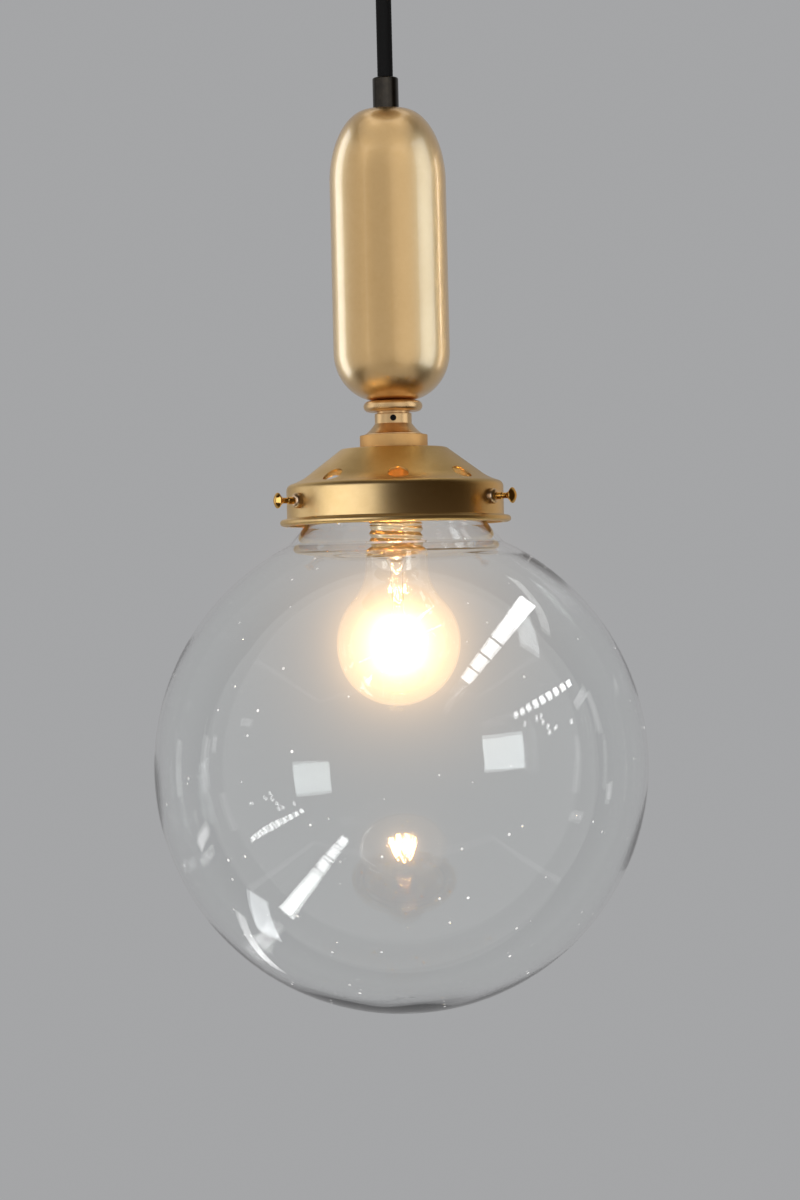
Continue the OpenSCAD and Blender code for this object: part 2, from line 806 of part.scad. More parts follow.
module cap_contact() {
    top = z_lamp_contact - gap - 0.3;
    z = z_flare + insulator_start + 4.6;
    color("silver") rotate_extrude() polygon(concat(
        [[0, z], [4.6, z], [4.6, top - 1]], arc([3.4, top - 1.2], 1.2, 10, 90, 4), [[0, top]]));
}

// Glass stem: flared foot sealed in the neck, hollow tube, pinch and a rod with a button
module lamp_stem() {
    z = z_flare - bite;
    color("azure", 0.5) rotate_extrude() polygon([
        [0, z - 54], [1.6, z - 54], [1.9, z - 53], [1.6, z - 52], [0.8, z - 51.4], [0.8, z - 26],
        [2.8, z - 24], [3, z - 12], [3.4, z - 8], [5.4, z - 4.4], [9.6, z - 3], [9.6, z - 2],
        [4.6, z - 3], [2.2, z - 8], [0, z - 12]]);
}

// Two lead wires from the pinch out to the top of the cage
module lead_wires() {
    color("silver") for (side = [-1, 1]) translate([0, 0, z_bulb])
        wire([[side * 1.9, 0, 31.6], [side * 2.6, 0, 24], [side * 4.6, 0, 17],
              [side * cage_top_r, 0, cage_top + 1.2]], 0.8, [0, 1, 0], 6);
}

// Hook height and radius along the cage's zigzag
function cage_point(i) = let (a = 360 * i / cage_runs, up = i % 2 == 0)
    [(up ? cage_top_r : cage_low_r) * cos(a), (up ? cage_top_r : cage_low_r) * sin(a),
     z_bulb + (up ? cage_top : cage_low)];

module filament() {
    route = [for (i = [0:cage_runs - 1]) cage_point(i)];
    color("orange") wire(route, filament_d, [for (p = route) [p[0], p[1], 0]], 6);
}

// Fine molybdenum hooks that hold the cage: an upper and a lower star on the rod
module filament_supports() {
    color("gray") for (i = [2:cage_runs - 2]) let (p = cage_point(i), rod = [0, 0, p[2]],
                                   out = [p[0], p[1], 0])
        wire([rod + unit(out) * 0.7, rod + out * 0.5, rod + unit(out) * (norm(out) - 0.45)], 0.5,
             [0, 0, 1], 6);
}

// ---------------------------------------------------------------- assembly

ceiling_bracket();
ceiling_rose();
rose_screws();
terminal_block();
terminal_screws();
earth_screw();
rose_nipple();
rose_nut();
rose_grip();
rose_bush();
rose_grip_screw();
feed_live();
feed_neutral();
feed_earth();
flex_cord();
cord_grip();
cord_bush();
cord_grip_screw();
capsule_shell();
threaded_tube();
collar_ring();
holder_cap();
grub_screw();
holder_skirt();
lock_washer();
tube_nut();
shade_ring();
contact_block();
block_screws();
holder_terminals();
holder_screws();
earth_terminal();
centre_contact();
screw_shell();
core_live();
core_neutral();
core_earth();
gallery();
screw_bosses();
thumbscrew(screw_angles[0]);  // thumbscrew_1
thumbscrew(screw_angles[1]);  // thumbscrew_2
thumbscrew(screw_angles[2]);  // thumbscrew_3
globe();
lamp_glass();
lamp_cap();
cap_insulator();
cap_contact();
lamp_stem();
lead_wires();
filament();
filament_supports();
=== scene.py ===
"""Looks of the pendant ceiling light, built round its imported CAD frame. Lengths in the outlines are in
millimetres and become metres in lathe() and tube(); levels come from the CAD nodes' boxes."""

import math

import bmesh
import bpy
from mathutils import Matrix, Vector


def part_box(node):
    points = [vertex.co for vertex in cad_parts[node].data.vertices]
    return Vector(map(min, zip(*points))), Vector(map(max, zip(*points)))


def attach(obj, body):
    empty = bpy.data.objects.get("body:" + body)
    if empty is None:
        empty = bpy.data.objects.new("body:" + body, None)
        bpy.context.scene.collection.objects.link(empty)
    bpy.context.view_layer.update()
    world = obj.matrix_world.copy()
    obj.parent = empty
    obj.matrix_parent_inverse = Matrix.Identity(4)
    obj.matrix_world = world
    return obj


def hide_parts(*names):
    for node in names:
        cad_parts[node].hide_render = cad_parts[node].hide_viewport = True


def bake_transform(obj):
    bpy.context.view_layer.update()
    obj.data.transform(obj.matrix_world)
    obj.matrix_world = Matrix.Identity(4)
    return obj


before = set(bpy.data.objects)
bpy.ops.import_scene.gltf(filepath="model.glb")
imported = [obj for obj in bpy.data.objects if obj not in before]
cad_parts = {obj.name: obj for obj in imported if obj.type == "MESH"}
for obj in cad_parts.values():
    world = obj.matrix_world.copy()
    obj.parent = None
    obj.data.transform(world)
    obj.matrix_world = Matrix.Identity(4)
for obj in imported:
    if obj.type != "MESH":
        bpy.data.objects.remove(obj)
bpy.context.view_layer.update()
MM = 0.001

# ------------------------------------------------------------------ levels and radii, from the frame


def top(node):
    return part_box(node)[1].z / MM


def low(node):
    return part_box(node)[0].z / MM


def outer(node):
    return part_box(node)[1].x / MM


Z_ROSE = low("ceiling_rose")
Z_CAPSULE = top("capsule_shell")
Z_BEAD = low("capsule_shell")
Z_GROOVE = top("holder_cap")
Z_SKIRT = top("holder_skirt")
Z_GALLERY = top("gallery")
Z_RIM = low("gallery")
Z_SCREW = (top("thumbscrew_1") + low("thumbscrew_1")) / 2
GLOBE_R = outer("globe")
Z_GLOBE = low("globe") + GLOBE_R
Z_LIP_TOP = top("globe")
BULB_R = outer("lamp_glass")
Z_BULB = low("lamp_glass") + BULB_R
Z_FLARE = low("lamp_cap")
HOLE_R = 5.1
SCREW_ANGLES = (-30, -150, 90)

# ------------------------------------------------------------------ camera

VIEW_DISTANCE = 1.475
VIEW_HEIGHT = -0.3745
VIEW_SIDE = 0.0012
VIEW_LENS = 90.9
VIEW_ROLL = -1.35


def make_camera():
    data = bpy.data.cameras.new("camera")
    data.lens = VIEW_LENS
    data.sensor_width = 36
    camera = bpy.data.objects.new("camera", data)
    camera.matrix_world = (
        Matrix.Translation((VIEW_SIDE, -VIEW_DISTANCE, VIEW_HEIGHT))
        @ Matrix.Rotation(math.radians(90), 4, "X")
        @ Matrix.Rotation(math.radians(VIEW_ROLL), 4, "Z")
    )
    bpy.context.scene.collection.objects.link(camera)
    bpy.context.scene.camera = camera


make_camera()

# ------------------------------------------------------------------ mesh helpers


def arc(centre, radius, start, end, steps=12):
    """Points of an arc in the plane of an outline, from one angle to another."""
    angles = [math.radians(start + (end - start) * i / steps) for i in range(steps + 1)]
    return [(centre[0] + radius * math.cos(a), centre[1] + radius * math.sin(a)) for a in angles]


def fillet(points, radii, steps=6):
    """Closed outline with the corners named in radii, {index: radius}, rounded."""
    out = []
    for i, here in enumerate(points):
        radius = radii.get(i, 0)
        if not radius:
            out.append(here)
            continue
        p = Vector(here)
        a = (Vector(points[i - 1]) - p).normalized()
        b = (Vector(points[(i + 1) % len(points)]) - p).normalized()
        half = a.angle(b) / 2
        centre = p + (a + b).normalized() * radius / math.sin(half)
        start = p + a * radius / math.tan(half) - centre
        end = p + b * radius / math.tan(half) - centre
        turn = start.angle_signed(end)
        for k in range(steps + 1):
            out.append(tuple(centre + Matrix.Rotation(-turn * k / steps, 2) @ start))
    return out


def finish_mesh(name, mesh, sharp=32):
    mesh.update()
    mesh.validate()
    mesh.shade_smooth()
    mesh.set_sharp_from_angle(angle=math.radians(sharp))
    piece = bpy.data.objects.new(name, mesh)
    bpy.context.scene.collection.objects.link(piece)
    return piece


def lathe(name, outline, segments=128, closed=True, change=None, sharp=32):
    """Turned piece: outline holds (radius, z) in millimetres. change(r, angle, z) may move a point."""
    verts, rings = [], []
    for r, z in outline:
        count = 1 if r < 1e-6 else segments
        rings.append(range(len(verts), len(verts) + count))
        for k in range(count):
            angle = 2 * math.pi * k / segments
            x, y, h = change(r, angle, z) if change else (r * math.cos(angle), r * math.sin(angle), z)
            verts.append((x * MM, y * MM, h * MM))
    faces = []
    pairs = list(zip(rings, rings[1:])) + ([(rings[-1], rings[0])] if closed else [])
    for a, b in pairs:
        if len(a) == 1 and len(b) == 1:
            continue
        for k in range(segments):
            j = (k + 1) % segments
            quad = [a[k % len(a)], a[j % len(a)], b[j % len(b)], b[k % len(b)]]
            faces.append(tuple(dict.fromkeys(quad)))
    mesh = bpy.data.meshes.new(name)
    mesh.from_pydata(verts, [], faces)
    outward(mesh)
    return finish_mesh(name, mesh, sharp)


def outward(mesh):
    """Turns the faces of a closed mesh outwards."""
    bm = bmesh.new()
    bm.from_mesh(mesh)
    bmesh.ops.recalc_face_normals(bm, faces=bm.faces)
    bm.to_mesh(mesh)
    bm.free()


def tube(name, route, radius, sides=10, loop=False):
    """Round wire along a route in millimetres."""
    points = [Vector(p) for p in route]
    count = len(points)
    verts, faces = [], []
    side = None
    for i, p in enumerate(points):
        after = points[(i + 1) % count] if loop else points[min(i + 1, count - 1)]
        before = points[i - 1] if loop else points[max(i - 1, 0)]
        along = (after - before).normalized()
        side = side or along.orthogonal()
        side = (side - along * side.dot(along)).normalized()
        across = along.cross(side)
        for k in range(sides):
            a = 2 * math.pi * k / sides
            verts.append((p + radius * (math.cos(a) * side + math.sin(a) * across)) * MM)
    for i in range(count if loop else count - 1):
        j = (i + 1) % count
        for k in range(sides):
            n = (k + 1) % sides
            faces.append((i * sides + k, j * sides + k, j * sides + n, i * sides + n))
    if not loop:
        faces += [tuple(range(sides)), tuple(range(count * sides - 1, (count - 1) * sides - 1, -1))]
    mesh = bpy.data.meshes.new(name)
    mesh.from_pydata([tuple(v) for v in verts], [], faces)
    outward(mesh)
    return finish_mesh(name, mesh, 50)


def join(name, pieces):
    """One piece out of several meshes."""
    bm = bmesh.new()
    for piece in pieces:
        bm.from_mesh(piece.data)
        bpy.data.objects.remove(piece)
    mesh = bpy.data.meshes.new(name)
    bm.to_mesh(mesh)
    bm.free()
    return finish_mesh(name, mesh)


def cut(piece, cutters):
    """Piece with round holes cut by the cutters, which are then removed."""
    for cutter in cutters:
        step = piece.modifiers.new("hole", "BOOLEAN")
        step.operation = "DIFFERENCE"
        step.solver = "EXACT"
        step.object = cutter
    shown = piece.evaluated_get(bpy.context.evaluated_depsgraph_get())
    mesh = bpy.data.meshes.new_from_object(shown)
    piece.modifiers.clear()
    piece.data = mesh
    mesh.shade_smooth()
    mesh.set_sharp_from_angle(angle=math.radians(32))
    for cutter in cutters:
        bpy.data.objects.remove(cutter)
    return piece


def rod(radius, start, end, place):
    """Cutter along +Z from start to end in millimetres, moved by place."""
    cutter = lathe("cutter", [(0, start), (radius, start), (radius, end), (0, end)], 48, False)
    cutter.data.transform(place)
    return cutter


def radial(angle, z):
    """Places something along +Z so that it points outwards from the axis."""
    return (
        Matrix.Translation((0, 0, z * MM))
        @ Matrix.Rotation(math.radians(angle), 4, "Z")
        @ Matrix.Rotation(math.radians(90), 4, "Y")
    )


def piece_for(piece, body, material, *nodes):
    """The piece rides on the body, wears the material and stands for the CAD nodes."""
    piece.data.materials.clear()
    piece.data.materials.append(material)
    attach(piece, body)
    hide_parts(*nodes)
    return piece


# ------------------------------------------------------------------ material helpers


def new_material(name):
    material = bpy.data.materials.new(name)
    material.use_nodes = True
    nodes = material.node_tree.nodes
    return material, material.node_tree, nodes["Principled BSDF"]


def add(tree, kind, values=None, **settings):
    """New node of that kind, with values for its inputs, by name or number, and its settings."""
    node = tree.nodes.new(kind)
    for key, value in settings.items():
        setattr(node, key, value)
    for key, value in (values or {}).items():
        if isinstance(value, bpy.types.NodeSocket):
            tree.links.new(value, node.inputs[key])
        else:
            node.inputs[key].default_value = value
    return node


def place(tree, scale=(1, 1, 1)):
    """Object coordinates, stretched."""
    source = add(tree, "ShaderNodeTexCoord")
    return add(tree, "ShaderNodeMapping", {"Vector": source.outputs["Object"], "Scale": scale}).outputs[0]


def noise(tree, vector, scale, detail=3.0, rough=0.55):
    return add(tree, "ShaderNodeTexNoise", {"Vector": vector, "Scale": scale, "Detail": detail,
                                            "Roughness": rough}).outputs["Fac"]


def spread(tree, value, low_in, high_in, low_out, high_out):
    """Value carried from one range to another."""
    limits = {0: value, 1: low_in, 2: high_in, 3: low_out, 4: high_out}
    return add(tree, "ShaderNodeMapRange", limits).outputs[0]


def maths(tree, operation, a, b=0.0):
    return add(tree, "ShaderNodeMath", {0: a, 1: b}, operation=operation).outputs[0]


def two_colours(tree, factor, first, second):
    mix = add(tree, "ShaderNodeMix", data_type="RGBA")
    tree.links.new(factor, mix.inputs[0])
    mix.inputs[6].default_value = (*first, 1)
    mix.inputs[7].default_value = (*second, 1)
    return mix.outputs[2]


def bump(tree, shader, height, strength, distance):
    node = add(tree, "ShaderNodeBump", {"Height": height, "Strength": strength, "Distance": distance})
    tree.links.new(node.outputs[0], shader.inputs["Normal"])


def turned_metal(name, colour, worn, rough, line_depth=0.25, coat=0.0, coat_rough=0.1):
    """Turned or spun metal: fine rings round the axis, cloudy tarnish and small handling marks."""
    material, tree, shader = new_material(name)
    clouds = noise(tree, place(tree), 38.0, 4.0)
    stain = noise(tree, place(tree), 210.0, 5.0, 0.7)
    tint = maths(tree, "MULTIPLY", clouds, stain)
    tree.links.new(two_colours(tree, spread(tree, tint, 0.12, 0.42, 0.0, 1.0), colour, worn),
                   shader.inputs["Base Color"])
    rings = noise(tree, place(tree, (40, 40, 9000)), 1.0, 2.0)
    grain = noise(tree, place(tree), 2600.0, 2.0)
    mixed = maths(tree, "ADD", maths(tree, "MULTIPLY", rings, 0.7), maths(tree, "MULTIPLY", grain, 0.3))
    tree.links.new(spread(tree, maths(tree, "ADD", mixed, clouds), 0.6, 1.4, rough * 0.82, rough * 1.2),
                   shader.inputs["Roughness"])
    bump(tree, shader, mixed, line_depth, 0.00002)
    shader.inputs["Metallic"].default_value = 1.0
    shader.inputs["Coat Weight"].default_value = coat
    shader.inputs["Coat Roughness"].default_value = coat_rough
    return material


def satin_metal(name, colour, worn, rough):
    """Plated or stamped metal with no turning rings."""
    material, tree, shader = new_material(name)
    clouds = noise(tree, place(tree), 90.0, 4.0)
    grain = noise(tree, place(tree), 1800.0, 3.0)
    tree.links.new(two_colours(tree, spread(tree, clouds, 0.35, 0.65, 0.0, 1.0), colour, worn),
                   shader.inputs["Base Color"])
    tree.links.new(spread(tree, grain, 0.3, 0.7, rough * 0.8, rough * 1.25), shader.inputs["Roughness"])
    bump(tree, shader, grain, 0.2, 0.00003)
    shader.inputs["Metallic"].default_value = 1.0
    return material


def moulded(name, colour, shade, rough, coat=0.0):
    """Moulded plastic, porcelain or rubber."""
    material, tree, shader = new_material(name)
    clouds = noise(tree, place(tree), 120.0, 3.0)
    grain = noise(tree, place(tree), 900.0, 2.0)
    tree.links.new(two_colours(tree, spread(tree, clouds, 0.3, 0.7, 0.0, 1.0), colour, shade),
                   shader.inputs["Base Color"])
    tree.links.new(spread(tree, grain, 0.3, 0.7, rough * 0.85, rough * 1.15), shader.inputs["Roughness"])
    bump(tree, shader, grain, 0.25, 0.00004)
    shader.inputs["Coat Weight"].default_value = coat
    return material


SPECK_SCALE = 70.0
SPECK_SIZE = 0.05
SPECK_PAINTED_GLINT = 0.75


def clear_glass(name, tint, ior, wave_scale, wave_depth, speck_share=0.0):
    """Clear glass that lets light reach what is behind it, slightly wavy, with seeds and specks; the specks
    glow with a painted glint of light.
    """
    material, tree, shader = new_material(name)
    shader.inputs["Transmission Weight"].default_value = 1.0
    shader.inputs["IOR"].default_value = ior
    shader.inputs["Roughness"].default_value = 0.0
    shader.inputs["Base Color"].default_value = (*tint, 1)
    waves = noise(tree, place(tree), wave_scale, 2.0)
    if speck_share:
        cells = add(tree, "ShaderNodeTexVoronoi", {"Vector": place(tree), "Scale": SPECK_SCALE})
        seed = add(tree, "ShaderNodeSeparateColor", {0: cells.outputs["Color"]}).outputs[0]
        chosen = maths(tree, "LESS_THAN", seed, speck_share)
        near = maths(tree, "LESS_THAN", cells.outputs["Distance"], SPECK_SIZE)
        dot = maths(tree, "MULTIPLY", near, chosen)
        tree.links.new(maths(tree, "SUBTRACT", 1.0, dot), shader.inputs["Transmission Weight"])
        # The specks' emission is a painted glint: light painted onto the dust, which is no lamp.
        tree.links.new(maths(tree, "MULTIPLY", dot, SPECK_PAINTED_GLINT), shader.inputs["Emission Strength"])
        shader.inputs["Emission Color"].default_value = (1.0, 0.98, 0.95, 1)
    bump(tree, shader, waves, 1.0, wave_depth)
    output = tree.nodes["Material Output"]
    path = add(tree, "ShaderNodeLightPath")
    see_through = add(tree, "ShaderNodeBsdfTransparent", {0: (*[0.5 + 0.5 * c for c in tint], 1)})
    mix = add(tree, "ShaderNodeMixShader", {0: path.outputs["Is Shadow Ray"], 1: shader.outputs[0],
                                            2: see_through.outputs[0]})
    tree.links.new(mix.outputs[0], output.inputs["Surface"])
    return material, tree, shader


def around(tree):
    """Angle round the Z axis in turns, and the height, both from object coordinates."""
    xyz = add(tree, "ShaderNodeSeparateXYZ", {0: add(tree, "ShaderNodeTexCoord").outputs["Object"]})
    turn = maths(tree, "DIVIDE", maths(tree, "ARCTAN2", xyz.outputs[1], xyz.outputs[0]), 2 * math.pi)
    return turn, xyz.outputs[2]


# ------------------------------------------------------------------ cord

# The same route as the CAD cord: straight from inside the capsule's grip to inside the rose's grip
CORD_FOOT = low("flex_cord")
CORD_HEAD = top("flex_cord")
CORD_R = outer("flex_cord")
BRAID_STRANDS = 16
BRAID_PITCH = 1.9
BRAID_DEPTH = 0.28
YARNS_IN_STRAND = 5.0
BRAID_RINGS = 200
BRAID_COLUMNS = 144


def braid_height(turn, z):
    """Height of the braid, 0 to 1: two sets of strands that pass over and under each other."""
    one = BRAID_STRANDS * turn + z / BRAID_PITCH
    two = BRAID_STRANDS * turn - z / BRAID_PITCH
    over = (math.floor(one) + math.floor(two)) % 2 == 0
    across = (one if over else two) % 1
    return 0.35 + 0.65 * (1 - (2 * across - 1) ** 2)


def braided_cord():
    outline = [(CORD_R, CORD_FOOT + (CORD_HEAD - CORD_FOOT) * i / BRAID_RINGS)
               for i in range(BRAID_RINGS + 1)]

    def braid(r, angle, z):
        r -= BRAID_DEPTH * (1 - braid_height(angle / (2 * math.pi), z))
        return r * math.cos(angle), r * math.sin(angle), z

    profile = [(0, CORD_FOOT)] + outline + [(0, CORD_HEAD)]
    return lathe("braided_cord", profile, BRAID_COLUMNS, False, braid, 60)


def textile():
    material, tree, shader = new_material("black_textile")
    turn, z = around(tree)
    strands = maths(tree, "MULTIPLY", turn, float(BRAID_STRANDS))
    rise = maths(tree, "DIVIDE", z, BRAID_PITCH * MM)
    threads = []
    for sign in ("ADD", "SUBTRACT"):
        yarns = maths(tree, "MULTIPLY", maths(tree, sign, strands, rise), YARNS_IN_STRAND)
        threads.append(maths(tree, "PINGPONG", yarns, 0.5))
    fibre = noise(tree, place(tree), 5200.0, 2.0)
    weave = maths(tree, "MULTIPLY", maths(tree, "ADD", threads[0], threads[1]), 0.8)
    lit = maths(tree, "MULTIPLY", weave, fibre)
    # The crowns of the yarns are painted lighter than the gaps between them: a painted highlight on the
    # weave.
    tree.links.new(two_colours(tree, spread(tree, lit, 0.15, 0.6, 0.0, 1.0), (0.0035, 0.0035, 0.004),
                               (0.012, 0.012, 0.014)), shader.inputs["Base Color"])
    tree.links.new(spread(tree, fibre, 0.3, 0.7, 0.6, 0.85), shader.inputs["Roughness"])
    bump(tree, shader, lit, 0.6, 0.00008)
    shader.inputs["Sheen Weight"].default_value = 0.12
    shader.inputs["Sheen Roughness"].default_value = 0.4
    shader.inputs["Specular IOR Level"].default_value = 0.3
    return material


cord = braided_cord()
cord.data.materials.append(textile())
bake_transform(cord)
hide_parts("flex_cord")

# ------------------------------------------------------------------ brass and other opaque pieces

CAPSULE_BRASS = turned_metal("capsule_brass", (0.85, 0.57, 0.26), (0.81, 0.53, 0.23), 0.34, 0.05, 0.7, 0.08)
GALLERY_BRASS = turned_metal("gallery_brass", (0.80, 0.53, 0.20), (0.73, 0.47, 0.16), 0.36, 0.08)
FITTING_BRASS = turned_metal("fitting_brass", (0.83, 0.57, 0.30), (0.77, 0.51, 0.25), 0.30, 0.10)
SKIRT_BRASS = turned_metal("skirt_brass", (0.86, 0.52, 0.21), (0.80, 0.47, 0.18), 0.50, 0.12)
POLISHED_BRASS = turned_metal("polished_brass", (0.86, 0.50, 0.12), (0.72, 0.36, 0.06), 0.14, 0.08)
BLACK_BRONZE = turned_metal("black_bronze", (0.030, 0.027, 0.024), (0.075, 0.062, 0.045), 0.34, 0.2, 0.3,
                            0.25)

CAPSULE_R = outer("capsule_shell")
CAPSULE_WALL = 1.2
HEAD_FLAT, HEAD_H = 8.1, 36
FOOT_FLAT, FOOT_H = 6.6, 24


def shoulder(radius, flat, height, steps=40):
    """Quarter ellipse from a flat end out to the wall: (radius, depth from the end)."""
    return [(flat + (radius - flat) * math.cos(math.radians(90 - 90 * i / steps)),
             height * (1 - math.sin(math.radians(90 - 90 * i / steps)))) for i in range(steps + 1)]


def capsule_side(inset):
    """Capsule's outline from its upper hole to its lower one."""
    upper = shoulder(CAPSULE_R - inset, HEAD_FLAT, HEAD_H - inset)
    lower = shoulder(CAPSULE_R - inset, FOOT_FLAT, FOOT_H - inset)
    side = [(HOLE_R, Z_CAPSULE - inset)] + [(r, Z_CAPSULE - inset - d) for r, d in upper]
    straight = (Z_CAPSULE - HEAD_H) - (Z_BEAD + FOOT_H)
    side += [(CAPSULE_R - inset, Z_CAPSULE - HEAD_H - straight * i / 40) for i in range(1, 40)]
    side += [(r, Z_BEAD + inset + d) for r, d in reversed(lower)]
    return side + [(HOLE_R, Z_BEAD + inset)]


piece_for(lathe("capsule", capsule_side(0) + capsule_side(CAPSULE_WALL)[::-1], 192), "pendant",
          CAPSULE_BRASS, "capsule_shell")


def ring():
    bead = top("collar_ring") - low("collar_ring")
    z = low("collar_ring")
    r = outer("collar_ring")
    return ([(HOLE_R, z)] + arc((r - bead / 2, z + bead / 2), bead / 2, -90, 90, 20)
            + [(HOLE_R, z + bead)])


piece_for(lathe("ring", ring(), 128), "pendant", FITTING_BRASS, "collar_ring")

NECK_R = 9
NECK_H = 4.9
BELL_EDGE = 0.5
Z_BELL = top("holder_cap") - 0.9 - NECK_H
BELL_R = outer("holder_cap")


def lampholder_cap():
    """Groove, neck and bell, turned in one piece, with the grub screw's hole in front."""
    z_neck = Z_BELL + NECK_H
    drop = Z_BELL - Z_SKIRT - BELL_EDGE
    bell = [(NECK_R + (BELL_R - NECK_R) * i / 30, Z_BELL - drop * (1 - (1 - i / 30) ** 1.4))
            for i in range(1, 31)]
    profile = [(HOLE_R, Z_GROOVE), (NECK_R - 1.2, Z_GROOVE), (NECK_R - 1.2, z_neck)]
    profile += arc((NECK_R - 0.4, z_neck - 0.4), 0.4, 90, 0, 5) + [(NECK_R, Z_BELL)] + bell
    profile += [(BELL_R, Z_SKIRT), (BELL_R - 3.2, Z_SKIRT), (NECK_R - 1.5, Z_BELL - 1.2),
                (HOLE_R, Z_BELL - 1.2)]
    return cut(lathe("lampholder_cap", profile, 128),
               [rod(1.5, 2, 12, radial(-90, z_neck - NECK_H / 2))])


piece_for(lampholder_cap(), "pendant", FITTING_BRASS, "holder_cap")


def skirt():
    """Wide top that seats on the gallery, and the long part that the ring nut screws on."""
    r, long_r, bore = outer("holder_skirt"), 15.5, 14.6
    profile = [(HOLE_R, Z_SKIRT), (r, Z_SKIRT), (r, Z_GALLERY), (long_r, Z_GALLERY),
               (long_r, low("holder_skirt")), (bore, low("holder_skirt")), (bore, Z_SKIRT - 1.2),
               (HOLE_R, Z_SKIRT - 1.2)]
    return fillet(profile, {1: 0.5, 2: 0.3, 4: 0.3})


piece_for(lathe("lampholder_skirt", skirt(), 128), "pendant", SKIRT_BRASS, "holder_skirt")

SLOPE, LEDGE = 36.9, 18.0
SLOPE_END = Vector((42.5, -12.8))
HOLLOW_R, SHOULDER_R, CORNER_R = 24.0, 3.2, 3.0
WALL_R = 52.8
SHEET = 1.0
RIM_R = outer("gallery")
RIM_BEAD = 1.6
VENT_R = 43.6
VENT_D = 10.0


def gallery_side(inset):
    """Gallery from its hole to the foot of its wall: corner, slope, hollow, ledge and shoulder."""
    slope, ledge = math.radians(SLOPE), math.radians(LEDGE)
    normal = Vector((math.sin(slope), math.cos(slope)))
    corner = ((normal.dot(SLOPE_END) - CORNER_R * (1 - normal.y)) / normal.x, -CORNER_R)
    hollow = SLOPE_END + HOLLOW_R * normal
    foot = hollow - HOLLOW_R * Vector((math.sin(ledge), math.cos(ledge)))
    run = WALL_R - SHOULDER_R * (1 - math.sin(ledge)) - foot.x
    shoulder_centre = (WALL_R - SHOULDER_R, foot.y - run * math.tan(ledge) - SHOULDER_R * math.cos(ledge))
    return ([(15.7, -inset)] + arc(corner, CORNER_R - inset, 90, 90 - SLOPE, 12)
            + arc(hollow, HOLLOW_R + inset, 270 - SLOPE, 270 - LEDGE, 16)
            + arc(shoulder_centre, SHOULDER_R - inset, 90 - LEDGE, 0, 16))


def gallery():
    height = Z_GALLERY - Z_RIM
    bead = (RIM_R - RIM_BEAD, -height + RIM_BEAD)
    profile = gallery_side(0) + [(WALL_R, -height + 2 * RIM_BEAD + 1)]
    profile += arc((WALL_R + 1, -height + 2 * RIM_BEAD + 0.9), 1, 180, 250, 6)
    profile += arc(bead, RIM_BEAD, 84, -90, 16)
    profile += [(WALL_R - SHEET, -height)] + gallery_side(SHEET)[::-1]
    body = lathe("spun_gallery", [(r, Z_GALLERY + z) for r, z in profile], 256)
    slope = math.radians(SLOPE)
    hollow = SLOPE_END + HOLLOW_R * Vector((math.sin(slope), math.cos(slope)))
    tilt = math.asin((hollow.x - VENT_R) / HOLLOW_R)
    z_vent = Z_GALLERY + hollow.y - HOLLOW_R * math.cos(tilt)
    cutters = []
    for i in range(8):
        place_vent = (Matrix.Rotation(math.radians(-87.5 + 45 * i), 4, "Z")
                      @ Matrix.Translation((VENT_R * MM, 0, z_vent * MM))
                      @ Matrix.Rotation(tilt, 4, "Y"))
        cutters.append(rod(VENT_D / 2, -6, 6, place_vent))
    cutters += [rod(1.78, 45, 60, radial(angle, Z_SCREW)) for angle in SCREW_ANGLES]
    return cut(body, cutters)


piece_for(gallery(), "pendant", GALLERY_BRASS, "gallery")


def boss(angle):
    """Domed boss: (radius, distance from the axis), turned to point outwards."""
    r = 3.75
    profile = fillet([(1.78, 52.2), (r, 52.2), (r, WALL_R + 3.4), (1.78, WALL_R + 3.4)], {2: 1.9}, 12)
    piece = lathe("boss", profile, 64)
    piece.data.transform(radial(angle, Z_SCREW))
    return piece


piece_for(join("screw_boss", [boss(angle) for angle in SCREW_ANGLES]), "pendant", FITTING_BRASS,
          "screw_bosses")


def thumbscrew(name, angle):
    """Thumbscrew: pointed tip, threaded shank, plain neck, and a head that flares to a thin rim."""
    shank, core, tip, head, end, head_r, pitch = 1.7, 1.42, 44.65, 62.0, 66.4, 3.8, 0.7
    turns = 14
    steps = 12 * turns
    profile = [(0, tip), (1.0, tip), (shank, tip + 0.7)]
    profile += [(shank, tip + 0.7 + (turns * pitch) * i / steps) for i in range(1, steps + 1)]
    profile += [(shank, head - 3.0), (1.4, head - 2.6), (1.4, head - 0.4)]
    profile += [(1.4 + 2.15 * (i / 8) ** 1.5, head - 0.4 + 2.6 * i / 8) for i in range(1, 9)]
    profile += arc((head_r - 0.36, head + 2.55), 0.36, -50, 70, 8)
    profile += [(r, end - 1.5 * (r / 3.5) ** 2) for r in (3.2, 2.8, 2.4, 2.0, 1.6, 1.2, 0.8, 0.4)]
    profile += [(0, end)]

    def thread(r, turn, z):
        if tip + 0.9 < z < tip + 10.4 and abs(r - shank) < 1e-6:
            ease = min(1, (z - tip - 0.9) / 0.6, (tip + 10.4 - z) / 0.6)
            r -= ease * (shank - core) * (0.5 - 0.5 * math.cos(2 * math.pi * z / pitch + turn))
        return r * math.cos(turn), r * math.sin(turn), z

    piece = lathe(name, profile, 48, False, thread)
    piece.data.transform(radial(angle, Z_SCREW))
    return piece


for number, angle in enumerate(SCREW_ANGLES, 1):
    body = f"thumbscrew_{number}"
    piece_for(thumbscrew(f"thumb_screw_{number}", angle), body, POLISHED_BRASS, body)


